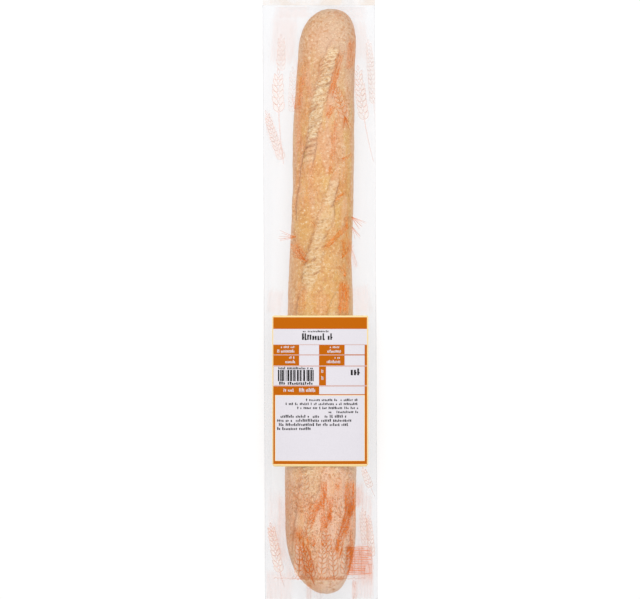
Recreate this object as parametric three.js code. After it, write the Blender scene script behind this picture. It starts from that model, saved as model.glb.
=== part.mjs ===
// A baguette in a clear sleeve with a scale label stuck on its front.
//
// Millimetres, +Z up. The pack lies on its back on a table at z = 0, with the
// loaf's slashed crust and the label facing up. +Y runs along the loaf and +X
// to its right. The origin is on the table, under the middle of the sleeve.
//
// Two solids: "bag" is the sealed sleeve, full out to its film, and "label" is
// the paper stuck on it. The film is drawn over the loaf, so the bag's front is
// worked out from the loaf's own section: the upper hull of crust and creases.

import * as THREE from "three";

// Sleeve: a flat tube of film, welded across both ends
const SLEEVE_LENGTH = 494;
const SLEEVE_HALF_WIDTH = 45.1;
const SLEEVE_SKEW = 1.1; // how far the top end lies to the left, and the bottom end to the right
const WELD_AT_TOP = 11; // length of the welded band at each end
const WELD_AT_BOTTOM = 7;
const WELD_THICKNESS = 1.2;
const CREASE_HEIGHT = 7; // side creases above the table, along the loaf
const CREASE_HEIGHT_AT_LABEL = 12; // the label's pull lifts them
const CREASE_RISE_LENGTH = 45; // from the weld's height to the full one
const SLEEVE_TOP_END = SLEEVE_LENGTH / 2;
const SLEEVE_BOTTOM_END = -SLEEVE_LENGTH / 2;
const TUBE_TOP_END = SLEEVE_TOP_END - WELD_AT_TOP; // the open tube between the welds
const TUBE_BOTTOM_END = SLEEVE_BOTTOM_END + WELD_AT_BOTTOM;
const BACK_HALF_FLAT = 26; // the back lies flat on the table this far out
const BACK_CURL = 1.6; // exponent of the back's rise from there to the crease

// Loaf
const LOAF_TOP_END = 232.4;
const LOAF_BOTTOM_END = -235.6;
const LOAF_TOP_CAP = 30; // length of the rounded end
const LOAF_BOTTOM_CAP = 60;
const CAP_POWER = 2.2;
const HEIGHT_TO_WIDTH = 0.74;
const SHOULDER_HEIGHT = 0.36; // where the loaf is widest, as a share of its height
const DOME_POWER = 2.3;
const FILM_STAND_OFF = 0.5; // film and air between crust and outer face

// The loaf is bent and tapered: [place along Y, value there]
const LOAF_CENTRE = [
  [-236, 5.2],
  [-222, 2.4],
  [-200, 0.9],
  [-150, 0.4],
  [30, 0.4],
  [80, 2.4],
  [134, 2.8],
  [182, 4.6],
  [212, 6.4],
  [233, 9],
];
const LOAF_HALF_WIDTH = [
  [-236, 28],
  [-150, 28.4],
  [-60, 27.4],
  [0, 26],
  [40, 24.4],
  [134, 24.4],
  [182, 23.1],
  [233, 22.6],
];

// Slashes: long slanting cuts down the crust, opened by the oven, one a list:
// [place along Y, middle along X, half width]
const SLASHES = [
  [
    [-206, -21.5, 0],
    [-198, -20, 2.4],
    [-182, -17, 4.4],
    [-166.8, -13.6, 6.2],
    [-150.8, -9.6, 8.4],
    [-134, -5.6, 9.4],
    [-118, -1, 8],
    [-100, 5, 5],
    [-88, 8, 0],
  ],
  [
    [-112, -16, 0],
    [-100, -13, 4],
    [-80, -7, 6],
    [-50, 1, 6],
    [-20, 9, 5],
    [0, 13.5, 3.2],
    [10, 15, 0],
  ],
  [
    [-21, -18, 0],
    [-14.8, -16.8, 2.4],
    [-0.4, -13.6, 4],
    [14, -10.2, 5.4],
    [27.6, -7.7, 6.2],
    [47.6, -1, 6.2],
    [67.6, 5.4, 5],
    [81.2, 7.6, 4.4],
    [94, 12, 3.4],
    [103.6, 14.4, 2.4],
    [111.6, 15.2, 0],
  ],
  [
    [58, -18.6, 0],
    [67.6, -17.2, 2.6],
    [94.8, -13.2, 4],
    [119.6, -8, 4.8],
    [146, -4, 5.4],
    [173, 2.6, 5.8],
    [186, 6, 6],
    [199.6, 10.6, 4.8],
    [207, 12, 0],
  ],
];
const SLASH_DEPTH = 1.4; // as it shows through the film
const SLASH_SLOPE = 0.8; // how far its hollow reaches, as a share of its half width
const FULL_SLASH = 4; // a cut of this half width has the full depth
const EAR_HEIGHT = 1.3; // the crust's raised lip, on the slash's left
const EAR_SPREAD = 3.4;
const CRUST_TOP = 0.6; // the film shows the slashes this far out from the loaf's middle,
const CRUST_SIDE = 0.95; // as a share of its half width, and not at all beyond this

// Label
const LABEL_WIDTH = 76.6;
const LABEL_LENGTH = 120.3;
const LABEL_CENTRE_X = 0.2;
const LABEL_CENTRE_Y = -72.9;
const LABEL_DROP = 5; // its long edges hang this far below its middle
const LABEL_THICKNESS = 0.4;
const LABEL_GAP = 0.3;
const LABEL_HOLD = 3; // the film keeps the label's shape this far past its ends
const LABEL_FADE = 32; // and has lost it again this much further on

// Facets
const STATIONS = 84;
const END_CROWDING = 0.45; // how much shorter the steps are at the tube's ends
const COLUMNS_AT_LABEL = 22;
const COLUMNS_AT_SIDE = 3;
const SIDE_STEPS_BELOW = 3;
const ARC_STEPS = 24;
const LABEL_ROWS = 20;

const mix = THREE.MathUtils.lerp;
const fade = THREE.MathUtils.smoothstep;

// A smooth value through a list of [place, value] stations.
function along(stations, y) {
  const last = stations.length - 1;
  if (y <= stations[0][0]) return stations[0][1];
  if (y >= stations[last][0]) return stations[last][1];
  const i = stations.findIndex(([place]) => place > y) - 1;
  const [y0, v0] = stations[i];
  const [y1, v1] = stations[i + 1];
  const slope = (a, b) => (stations[b][1] - stations[a][1]) / (stations[b][0] - stations[a][0]);
  const m0 = slope(Math.max(i - 1, 0), i + 1);
  const m1 = slope(i, Math.min(i + 2, last));
  const span = y1 - y0;
  const t = (y - y0) / span;
  const rise = t * t * (3 - 2 * t);
  return mix(v0, v1, rise) + span * (m0 * t * (1 - t) ** 2 - m1 * t * t * (1 - t));
}

// How full the loaf is at y: 1 along its body, rounding to 0 at its two ends.
function fullness(y) {
  if (y >= LOAF_TOP_END || y <= LOAF_BOTTOM_END) return 0;
  const cap = (distance, length) => {
    const rest = Math.max(0, 1 - distance / length);
    return (1 - rest ** CAP_POWER) ** (1 / CAP_POWER);
  };
  return cap(LOAF_TOP_END - y, LOAF_TOP_CAP) * cap(y - LOAF_BOTTOM_END, LOAF_BOTTOM_CAP);
}

// The loaf's upper section at y. It closes to a point at shoulder height.
function loafAt(y) {
  const full = fullness(y);
  const bodyHalfWidth = along(LOAF_HALF_WIDTH, y);
  const bodyHeight = 2 * HEIGHT_TO_WIDTH * bodyHalfWidth;
  const shoulder = SHOULDER_HEIGHT * bodyHeight;
  const height = shoulder + (bodyHeight - shoulder) * full;
  return { centre: along(LOAF_CENTRE, y), halfWidth: bodyHalfWidth * full, shoulder, height };
}

function loafArc(y) {
  const { centre, halfWidth, shoulder, height } = loafAt(y);
  if (halfWidth === 0) return [];
  const points = [];
  for (let k = 0; k <= ARC_STEPS; k += 1) {
    const angle = (Math.PI * k) / ARC_STEPS;
    const across = Math.cos(angle);
    const x = Math.sign(across) * Math.abs(across) ** (2 / DOME_POWER);
    const z = Math.sin(angle) ** (2 / DOME_POWER);
    points.push([
      centre + x * (halfWidth + FILM_STAND_OFF),
      shoulder + z * (height - shoulder + FILM_STAND_OFF),
    ]);
  }
  return points;
}

// The upper hull of [place, height] points, as film lies when it is pulled tight.
function drawnTight(points) {
  const hull = [];
  for (const point of [...points].sort((a, b) => a[0] - b[0])) {
    while (hull.length > 1) {
      const [a, b] = hull.slice(-2);
      const turn = (b[0] - a[0]) * (point[1] - a[1]) - (b[1] - a[1]) * (point[0] - a[0]);
      if (turn < 0) break;
      hull.pop();
    }
    hull.push(point);
  }
  return hull;
}

function heightOn(hull, place) {
  const i = hull.findIndex((point) => point[0] >= place);
  if (i < 0) return hull[hull.length - 1][1];
  if (i === 0) return hull[0][1];
  const [a, b] = [hull[i - 1], hull[i]];
  return mix(a[1], b[1], (place - a[0]) / (b[0] - a[0]));
}

// 1 where the label holds the film in its own gentle curve, 0 away from it.
function labelHold(y) {
  const past = Math.abs(y - LABEL_CENTRE_Y) - LABEL_LENGTH / 2 - LABEL_HOLD;
  return 1 - fade(past, 0, LABEL_FADE);
}

function creaseHeight(y) {
  const inside = Math.min(TUBE_TOP_END - y, y - TUBE_BOTTOM_END);
  const full = mix(CREASE_HEIGHT, CREASE_HEIGHT_AT_LABEL, labelHold(y));
  return mix(WELD_THICKNESS / 2, full, fade(inside, 0, CREASE_RISE_LENGTH));
}

const inWeld = (y) => y >= TUBE_TOP_END || y <= TUBE_BOTTOM_END;
const skewAt = (y) => (-SLEEVE_SKEW * y) / (SLEEVE_LENGTH / 2);

// The film's height under the label, before the label's gap and paper.
function labelForm(x, y) {
  const top = loafAt(y).height + FILM_STAND_OFF;
  const out = Math.abs(x - LABEL_CENTRE_X) / (LABEL_WIDTH / 2);
  if (out <= 1) return top - LABEL_DROP * out * out;
  const edge = LABEL_WIDTH / 2 + LABEL_CENTRE_X;
  const rest = (Math.abs(x) - edge) / (SLEEVE_HALF_WIDTH - edge);
  return mix(top - LABEL_DROP, creaseHeight(y), Math.min(1, rest));
}

// The slashes' relief at a point of the crust: a hollow and the ear beside it.
function slashRelief(x, y) {
  let relief = 0;
  for (const path of SLASHES) {
    if (y <= path[0][0] || y >= path[path.length - 1][0]) continue;
    const middle = along(path, y);
    const halfWidth = along(
      path.map(([place, , width]) => [place, width]),
      y,
    );
    if (halfWidth <= 0) continue;
    const open = fade(halfWidth, 0, FULL_SLASH);
    const toLeft = middle - x;
    const bell = (distance, reach) => Math.exp(-((distance / reach) ** 2));
    const hollow = SLASH_DEPTH * bell(toLeft, SLASH_SLOPE * halfWidth);
    const ear = EAR_HEIGHT * bell(toLeft - halfWidth - EAR_SPREAD / 2, EAR_SPREAD);
    relief += open * (ear - hollow);
  }
  return relief;
}

// Where the front's columns stand: even across the label, closer down its sides.
function columnPlaces() {
  const edge = LABEL_WIDTH / 2;
  const places = [];
  for (let k = 0; k < COLUMNS_AT_SIDE; k += 1) {
    places.push(mix(-SLEEVE_HALF_WIDTH, LABEL_CENTRE_X - edge, k / COLUMNS_AT_SIDE));
  }
  for (let k = 0; k <= COLUMNS_AT_LABEL; k += 1) {
    places.push(mix(LABEL_CENTRE_X - edge, LABEL_CENTRE_X + edge, k / COLUMNS_AT_LABEL));
  }
  for (let k = 1; k <= COLUMNS_AT_SIDE; k += 1) {
    places.push(mix(LABEL_CENTRE_X + edge, SLEEVE_HALF_WIDTH, k / COLUMNS_AT_SIDE));
  }
  return places;
}

// Stations along the sleeve: both ends of each weld, and steps along the tube
// between them that are shorter towards the loaf's round ends.
function stationPlaces() {
  const places = [SLEEVE_BOTTOM_END, TUBE_BOTTOM_END];
  for (let k = 1; k < STATIONS; k += 1) {
    const even = k / STATIONS;
    const eased = even - (END_CROWDING * Math.sin(2 * Math.PI * even)) / (2 * Math.PI);
    places.push(mix(TUBE_BOTTOM_END, TUBE_TOP_END, eased));
  }
  return [...places, TUBE_TOP_END, SLEEVE_TOP_END];
}

// The front of the sleeve as rows of heights, one row a station.
function frontRows(stations, columns) {
  const rows = stations.map((y) => {
    if (inWeld(y)) return columns.map(() => WELD_THICKNESS);
    const crease = creaseHeight(y);
    const creases = [
      [-SLEEVE_HALF_WIDTH, crease],
      [SLEEVE_HALF_WIDTH, crease],
    ];
    const hull = drawnTight([...creases, ...loafArc(y)]);
    return columns.map((x) => heightOn(hull, x));
  });
  // pulled tight along the sleeve too, from each weld over the loaf's end
  columns.forEach((x, i) => {
    if (i === 0 || i === columns.length - 1) return;
    const line = stations.map((y, j) => [y, rows[j][i]]);
    const hull = drawnTight(line);
    stations.forEach((y, j) => {
      rows[j][i] = heightOn(hull, y);
    });
  });
  // then the label's curve, and the slashes where crust holds the film up
  return rows.map((row, j) => {
    const y = stations[j];
    if (inWeld(y)) return row;
    const hold = labelHold(y);
    const { centre, halfWidth } = loafAt(y);
    return row.map((z, i) => {
      const x = columns[i];
      const rim = i === 0 || i === columns.length - 1;
      if (rim) return creaseHeight(y);
      const offMiddle = Math.abs(x - centre);
      const onCrust = 1 - fade(offMiddle, CRUST_TOP * halfWidth, CRUST_SIDE * halfWidth);
      return mix(z + onCrust * slashRelief(x, y), labelForm(x, y), hold);
    });
  });
}

// The back of the sleeve at x: flat on the table, curling up to the creases.
function backHeight(x, y) {
  if (inWeld(y)) return 0;
  const out = (Math.abs(x) - BACK_HALF_FLAT) / (SLEEVE_HALF_WIDTH - BACK_HALF_FLAT);
  return creaseHeight(y) * Math.max(0, out) ** BACK_CURL;
}

function backPlaces() {
  const places = [];
  for (let k = 1; k <= SIDE_STEPS_BELOW; k += 1) {
    places.push(mix(SLEEVE_HALF_WIDTH, BACK_HALF_FLAT, k / SIDE_STEPS_BELOW));
  }
  places.push(0);
  return [...places, ...places.slice(0, -1).reverse().map((x) => -x)];
}

// A closed solid through rings of points. Each ring runs over the front from
// left to right and returns along the back. middles are the two points that the
// end faces fan out from; without them the ends are zipped from front to back.
function loft(rings, middles) {
  const count = rings[0].length;
  const positions = rings.flat(2);
  const index = [];
  for (let j = 0; j + 1 < rings.length; j += 1) {
    for (let i = 0; i < count; i += 1) {
      const next = (i + 1) % count;
      const [a, b] = [j * count + i, j * count + next];
      const [c, d] = [a + count, b + count];
      index.push(a, b, d, a, d, c);
    }
  }
  const lastRing = (rings.length - 1) * count;
  if (middles) {
    const [near, far] = [rings.length * count, rings.length * count + 1];
    positions.push(...middles.flat());
    for (let i = 0; i < count; i += 1) {
      const next = (i + 1) % count;
      index.push(near, next, i, far, lastRing + i, lastRing + next);
    }
  } else {
    for (let i = 0; i + 1 < count / 2; i += 1) {
      const [p, q, r, s] = [i, i + 1, count - 2 - i, count - 1 - i];
      index.push(p, s, r, p, r, q);
      index.push(...[p, q, r, p, r, s].map((k) => k + lastRing));
    }
  }
  const geometry = new THREE.BufferGeometry();
  geometry.setAttribute("position", new THREE.Float32BufferAttribute(positions, 3));
  geometry.setIndex(index);
  geometry.computeVertexNormals();
  return geometry;
}

function makeBag() {
  const columns = columnPlaces();
  const stations = stationPlaces();
  const rows = frontRows(stations, columns);
  const rings = stations.map((y, j) => {
    const skew = skewAt(y);
    const front = columns.map((x, i) => [x + skew, y, rows[j][i]]);
    const back = backPlaces().map((x) => [x + skew, y, backHeight(x, y)]);
    return [...front, ...back];
  });
  const ends = [stations[0], stations[stations.length - 1]];
  const middles = ends.map((y) => [skewAt(y), y, WELD_THICKNESS / 2]);
  return loft(rings, middles);
}

function makeLabel() {
  const rings = [];
  for (let j = 0; j <= LABEL_ROWS; j += 1) {
    const y = LABEL_CENTRE_Y + LABEL_LENGTH * (j / LABEL_ROWS - 0.5);
    const lower = [];
    for (let i = 0; i <= COLUMNS_AT_LABEL; i += 1) {
      const x = LABEL_CENTRE_X + LABEL_WIDTH * (i / COLUMNS_AT_LABEL - 0.5);
      lower.push([x + skewAt(y), y, labelForm(x, y) + LABEL_GAP]);
    }
    const upper = lower.map(([x, , z]) => [x, y, z + LABEL_THICKNESS]);
    rings.push([...upper, ...lower.reverse()]);
  }
  return loft(rings);
}

// Crust seen through glossy film, and coated label paper
const film = new THREE.MeshStandardMaterial({ color: "#dcb080", roughness: 0.2, metalness: 0 });
const paper = new THREE.MeshStandardMaterial({ color: "#ebe4ea", roughness: 0.6, metalness: 0 });

const bag = new THREE.Mesh(makeBag(), film);
bag.name = "bag";

const label = new THREE.Mesh(makeLabel(), paper);
label.name = "label";

const pack = new THREE.Group();
pack.add(bag, label);

export default pack;
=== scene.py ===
# %% [markdown]
# # A baguette in its clear sleeve
#
# The object is a long slashed loaf in a bag of thin clear film. Wheat ears are printed on the
# film, and a paper label is stuck on its front. The part gives two plain solids, the bag and
# the label. Here each one is replaced by pieces with the real surfaces: the loaf, the film, its
# welded ends, the print and the paper. Every shape is worked out in millimetres and is scaled
# to Blender's metres when it becomes a mesh.

# %% Load the frame
import math
import random

import bpy
import numpy as np
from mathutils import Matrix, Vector, noise


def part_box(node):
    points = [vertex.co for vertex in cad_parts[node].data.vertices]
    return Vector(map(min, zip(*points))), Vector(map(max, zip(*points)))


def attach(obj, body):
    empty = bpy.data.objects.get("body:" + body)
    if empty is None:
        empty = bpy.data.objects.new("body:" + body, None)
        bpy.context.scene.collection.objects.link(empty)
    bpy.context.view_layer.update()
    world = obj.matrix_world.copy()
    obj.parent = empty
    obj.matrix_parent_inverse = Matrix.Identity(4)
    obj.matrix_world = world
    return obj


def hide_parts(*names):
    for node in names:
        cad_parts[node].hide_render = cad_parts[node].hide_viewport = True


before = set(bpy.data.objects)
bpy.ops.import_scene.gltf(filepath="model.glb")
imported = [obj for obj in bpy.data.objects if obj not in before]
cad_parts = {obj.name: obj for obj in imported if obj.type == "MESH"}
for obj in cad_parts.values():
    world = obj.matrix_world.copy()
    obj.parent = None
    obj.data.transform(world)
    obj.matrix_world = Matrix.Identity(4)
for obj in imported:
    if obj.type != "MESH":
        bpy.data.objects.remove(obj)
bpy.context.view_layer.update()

MM = 0.001
bag_low, bag_high = [np.array(corner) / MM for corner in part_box("bag")]
label_low, label_high = [np.array(corner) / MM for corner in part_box("label")]
print("bag, mm:", (bag_high - bag_low).round(1), " label, mm:", (label_high - label_low).round(1))

# %% [markdown]
# ## Camera, light and table
#
# The pack lies on its back, so the camera looks straight down. A long lens from far away keeps
# the sleeve's long edges parallel, as in a catalogue picture. The table is a lit white panel:
# most of its light is its own, so the loaf throws hardly any shadow on it. The soft light
# stands near the loaf's far end, which makes that end a little brighter.

# %% Camera
scene = bpy.context.scene
scene.view_settings.view_transform = "Standard"

VIEW_WIDTH = 0.512  # what the picture's width covers, at the height of the sleeve's sides
VIEW_HEIGHT_ABOVE_TABLE = 0.015
CAMERA_HEIGHT = 6.0
SENSOR = 36.0
SEES_AS_FAR_AS = 100

camera = bpy.data.objects.new("camera", bpy.data.cameras.new("camera"))
camera.location = (0, 0, CAMERA_HEIGHT)
camera.data.sensor_width = SENSOR
camera.data.lens = SENSOR * (CAMERA_HEIGHT - VIEW_HEIGHT_ABOVE_TABLE) / VIEW_WIDTH
camera.data.clip_end = SEES_AS_FAR_AS
scene.collection.objects.link(camera)
scene.camera = camera
print("lens, mm:", round(camera.data.lens))

# %% Light
SKY_LIGHT = 0.74
KEY_PLACE = (-0.03, 0.20, 1.15)
KEY_SIZE = 1.1
KEY_WATTS = 9.0

scene.world = bpy.data.worlds.new("studio")
scene.world.use_nodes = True
sky = scene.world.node_tree.nodes["Background"].inputs
sky["Color"].default_value = (1, 1, 1, 1)
sky["Strength"].default_value = SKY_LIGHT

key = bpy.data.objects.new("key light", bpy.data.lights.new("key light", "AREA"))
key.data.size = KEY_SIZE
key.data.energy = KEY_WATTS
key.location = KEY_PLACE
key.rotation_euler = (-Vector(KEY_PLACE)).to_track_quat("-Z", "Y").to_euler()
scene.collection.objects.link(key)

# %% [markdown]
# Materials are built from nodes, and small helpers keep that short to read. One adds a node and
# fills its sockets, from numbers or from other nodes' outputs. Others start and finish a
# material. The rest do sums with nodes, mix colours, and turn a range of values into a mask.


# %% Node helpers
def add_node(tree, kind, settings=None, **sockets):
    """Add a shader node. settings are its options; sockets are inputs, by name or as in_0, in_1."""
    made = tree.nodes.new("ShaderNode" + kind)
    for option, value in (settings or {}).items():
        setattr(made, option, value)
    for name, value in sockets.items():
        place = int(name[3:]) if name.startswith("in_") else name.replace("_", " ")
        socket = made.inputs[place]
        if isinstance(value, bpy.types.NodeSocket):
            tree.links.new(value, socket)
        else:
            socket.default_value = value
    return made


def new_material(name):
    """An empty material, its tree, and the places on its object in the object's coordinates."""
    material = bpy.data.materials.new(name)
    material.use_nodes = True
    material.node_tree.nodes.clear()
    place = add_node(material.node_tree, "TexCoord").outputs["Object"]
    return material, material.node_tree, place


def finish_material(material, shader):
    add_node(material.node_tree, "OutputMaterial", Surface=shader.outputs[0])
    return material


def colour(red, green, blue):
    """A colour given as 0 to 255 on screen, as the linear values that Blender works with."""
    return tuple(((c / 255 + 0.055) / 1.055) ** 2.4 for c in (red, green, blue)) + (1,)


# %% Sums, mixes and masks
def tree_of(*values):
    """The tree of the first node output among some values."""
    return next(value.id_data for value in values if isinstance(value, bpy.types.NodeSocket))


def maths(operation, *values):
    """A sum of one or two values; at least one is a node's output."""
    sockets = {f"in_{k}": value for k, value in enumerate(values)}
    return add_node(tree_of(*values), "Math", {"operation": operation}, **sockets).outputs[0]


def times(first, second):
    return maths("MULTIPLY", first, second)


def plus(first, second):
    return maths("ADD", first, second)


def where(value, start, end):
    """0 where value is at start, 1 where it is at end, smooth between."""
    soft = {"interpolation_type": "SMOOTHSTEP"}
    mask = add_node(tree_of(value), "MapRange", soft, Value=value, From_Min=start, From_Max=end)
    return mask.outputs[0]


def blend(share, first, second):
    """Mix two colours. All three may be plain values or other nodes' outputs."""
    tree = tree_of(share, first, second)
    return add_node(tree, "Mix", {"data_type": "RGBA"}, in_0=share, in_6=first, in_7=second).outputs[2]


def coat(below, mask, amount, tint):
    """Lay a tint over a colour, where a mask says and as much as an amount says."""
    return blend(times(mask, amount), below, tint)


# %% Table
TABLE_HALF = 7.0
GLOW_NEAR, GLOW_FAR = 0.655, 0.705  # the panel is a little brighter towards the loaf's far end
GLOW_REACH = 0.24
TABLE_GREY = 0.32


def table_material():
    material, tree, place = new_material("lit white table")
    face = add_node(tree, "BsdfDiffuse", Color=(TABLE_GREY,) * 3 + (1,))
    lengthwise = add_node(tree, "SeparateXYZ", Vector=place).outputs["Y"]
    glow_range = {"From_Min": -GLOW_REACH, "From_Max": GLOW_REACH, "To_Min": GLOW_NEAR, "To_Max": GLOW_FAR}
    strength = add_node(tree, "MapRange", Value=lengthwise, **glow_range)
    glow = add_node(tree, "Emission", Color=(1, 1, 1, 1), Strength=strength.outputs[0])
    both = add_node(tree, "AddShader", in_0=face.outputs[0], in_1=glow.outputs[0])
    return finish_material(material, both)


table_mesh = bpy.data.meshes.new("table")
signs = [(-1, -1), (1, -1), (1, 1), (-1, 1)]
table_mesh.from_pydata([(x * TABLE_HALF, y * TABLE_HALF, 0) for x, y in signs], [], [(0, 1, 2, 3)])
table_mesh.materials.append(table_material())
table = bpy.data.objects.new("table", table_mesh)
scene.collection.objects.link(table)

# %% [markdown]
# ## Shared surface effects
#
# Bread, paper, film and ink share three effects at different scales: fine grain, scattered
# specks, and streaks along the pack. Each is a node group, placed in every material that needs
# it with values of its own. A group puts out only a mask or a height.


# %% Effect groups
def new_group(name, result, **numbers):
    """A node group: a place and numbers go in, with their starting values, and one number comes out."""
    group = bpy.data.node_groups.new(name, "ShaderNodeTree")
    group.interface.new_socket("Place", in_out="INPUT", socket_type="NodeSocketVector")
    for label, start in numbers.items():
        label = label.replace("_", " ")
        socket = group.interface.new_socket(label, in_out="INPUT", socket_type="NodeSocketFloat")
        socket.default_value = start
    group.interface.new_socket(result, in_out="OUTPUT", socket_type="NodeSocketFloat")
    return group, group.nodes.new("NodeGroupInput").outputs, group.nodes.new("NodeGroupOutput").inputs


def in_steps(given, size):
    """The place, counted in steps of one of the given sizes in millimetres."""
    place, per_metre = given["Place"], maths("DIVIDE", 1 / MM, given[size])
    steps = add_node(tree_of(place), "VectorMath", {"operation": "SCALE"}, in_0=place, Scale=per_metre)
    return steps.outputs[0]


def make_grain_group():
    """Fine unevenness: a height from noise, at a size given in millimetres."""
    group, given, result = new_group("fine grain", "Height", Size_mm=1.0, Roughness=0.6)
    place = in_steps(given, "Size mm")
    grain = add_node(group, "TexNoise", Vector=place, Scale=1.0, Detail=4.0, Roughness=given["Roughness"])
    group.links.new(grain.outputs[0], result["Height"])
    return group


def make_speck_group():
    """Scattered specks: a mask, at a spacing in millimetres, covering a share of the cells."""
    group, given, result = new_group("scattered specks", "Mask", Spacing_mm=2.0, Share=0.3, Radius=0.3)
    cells = add_node(group, "TexVoronoi", Vector=in_steps(given, "Spacing mm"), Scale=1.0).outputs
    chance = add_node(group, "SeparateColor", Color=cells["Color"]).outputs[0]
    kept = maths("LESS_THAN", chance, given["Share"])
    mask = times(where(cells["Distance"], given["Radius"], 0.0), kept)
    group.links.new(mask, result["Mask"])
    return group


def make_streak_group():
    """Streaks that run along the pack: a mask, with the streaks' width and length in millimetres."""
    group, given, result = new_group("long streaks", "Mask", Width_mm=3.0, Length_mm=30.0, Contrast=0.5)
    across = maths("DIVIDE", 1 / MM, given["Width mm"])
    lengthwise = maths("DIVIDE", 1 / MM, given["Length mm"])
    size = add_node(group, "CombineXYZ", X=across, Y=lengthwise, Z=across).outputs[0]
    place = add_node(group, "VectorMath", {"operation": "MULTIPLY"}, in_0=given["Place"], in_1=size)
    waves = add_node(group, "TexNoise", Vector=place.outputs[0], Scale=1.0, Detail=3.0)
    low = times(given["Contrast"], 0.5)
    mask = where(waves.outputs[0], low, maths("SUBTRACT", 1.0, low))
    group.links.new(mask, result["Mask"])
    return group


GRAIN, SPECKS, STREAKS = make_grain_group(), make_speck_group(), make_streak_group()
print("effect groups:", GRAIN.name, "/", SPECKS.name, "/", STREAKS.name)


# %% Use an effect
def effect(group, place, **values):
    """Place an effect group in a material, with its values, and give back its output."""
    return add_node(tree_of(place), "Group", {"node_tree": group}, Place=place, **values).outputs[0]


# %% [markdown]
# ## The loaf's form
#
# A baguette is rolled by hand, so it isn't straight or even: its middle line bends, it is
# thicker at one end, and both ends are round. A few stations along its length say how far its
# middle lies to the side and how wide it is, and a smooth curve runs through them. Its section
# is a dome over a flat base. This is the same form as the part's solid has.

# %% The loaf's body
LOAF_TOP_END, LOAF_BOTTOM_END = 232.4, -235.6
LOAF_TOP_CAP, LOAF_BOTTOM_CAP = 30, 60
CAP_POWER = 2.2
HEIGHT_TO_WIDTH = 0.74
SHOULDER_HEIGHT = 0.36
DOME_POWER = 2.3
BASE_POWER = 3.4
LOAF_CENTRE = [
    (-236, 5.2), (-222, 2.4), (-200, 0.9), (-150, 0.4), (30, 0.4),
    (80, 2.4), (134, 2.8), (182, 4.6), (212, 6.4), (233, 9),
]
LOAF_HALF_WIDTH = [
    (-236, 28), (-150, 28.4), (-60, 27.4), (0, 26), (40, 24.4), (134, 24.4), (182, 23.1), (233, 22.6),
]


def through(stations, y):
    """The smooth curve through (place, value) stations, at the places y."""
    place, value = np.array(stations, float).T
    slope = np.empty_like(value)
    slope[1:-1] = (value[2:] - value[:-2]) / (place[2:] - place[:-2])
    slope[0] = (value[1] - value[0]) / (place[1] - place[0])
    slope[-1] = (value[-1] - value[-2]) / (place[-1] - place[-2])
    i = np.clip(np.searchsorted(place, y, side="right") - 1, 0, len(place) - 2)
    span = place[i + 1] - place[i]
    t = np.clip((y - place[i]) / span, 0, 1)
    rise = t * t * (3 - 2 * t)
    bend = span * (slope[i] * t * (1 - t) ** 2 - slope[i + 1] * t * t * (1 - t))
    return value[i] * (1 - rise) + value[i + 1] * rise + bend


def smooth(low, high, value):
    """0 below low, 1 above high, smooth between. low may be the larger one."""
    t = np.clip((value - low) / (high - low), 0, 1)
    return t * t * (3 - 2 * t)


def fullness(y):
    """1 along the loaf's body, rounding to 0 at its two ends."""
    def cap(distance, length):
        rest = np.clip(1 - distance / length, 0, 1)
        return (1 - rest**CAP_POWER) ** (1 / CAP_POWER)

    inside = (y < LOAF_TOP_END) & (y > LOAF_BOTTOM_END)
    return inside * cap(LOAF_TOP_END - y, LOAF_TOP_CAP) * cap(y - LOAF_BOTTOM_END, LOAF_BOTTOM_CAP)


def loaf_at(y):
    """The loaf's middle, half width, shoulder height and full height at y."""
    y = np.asarray(y, float)
    full = fullness(y)
    body_half_width = through(LOAF_HALF_WIDTH, y)
    body_height = 2 * HEIGHT_TO_WIDTH * body_half_width
    shoulder = SHOULDER_HEIGHT * body_height
    height = shoulder + (body_height - shoulder) * full
    return through(LOAF_CENTRE, y), body_half_width * full, shoulder, height


middle, half_width, shoulder, height = loaf_at([LOAF_BOTTOM_END + 30, -73, 100])
print("loaf width and height, mm:", (2 * half_width).round(1), height.round(1))
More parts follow.
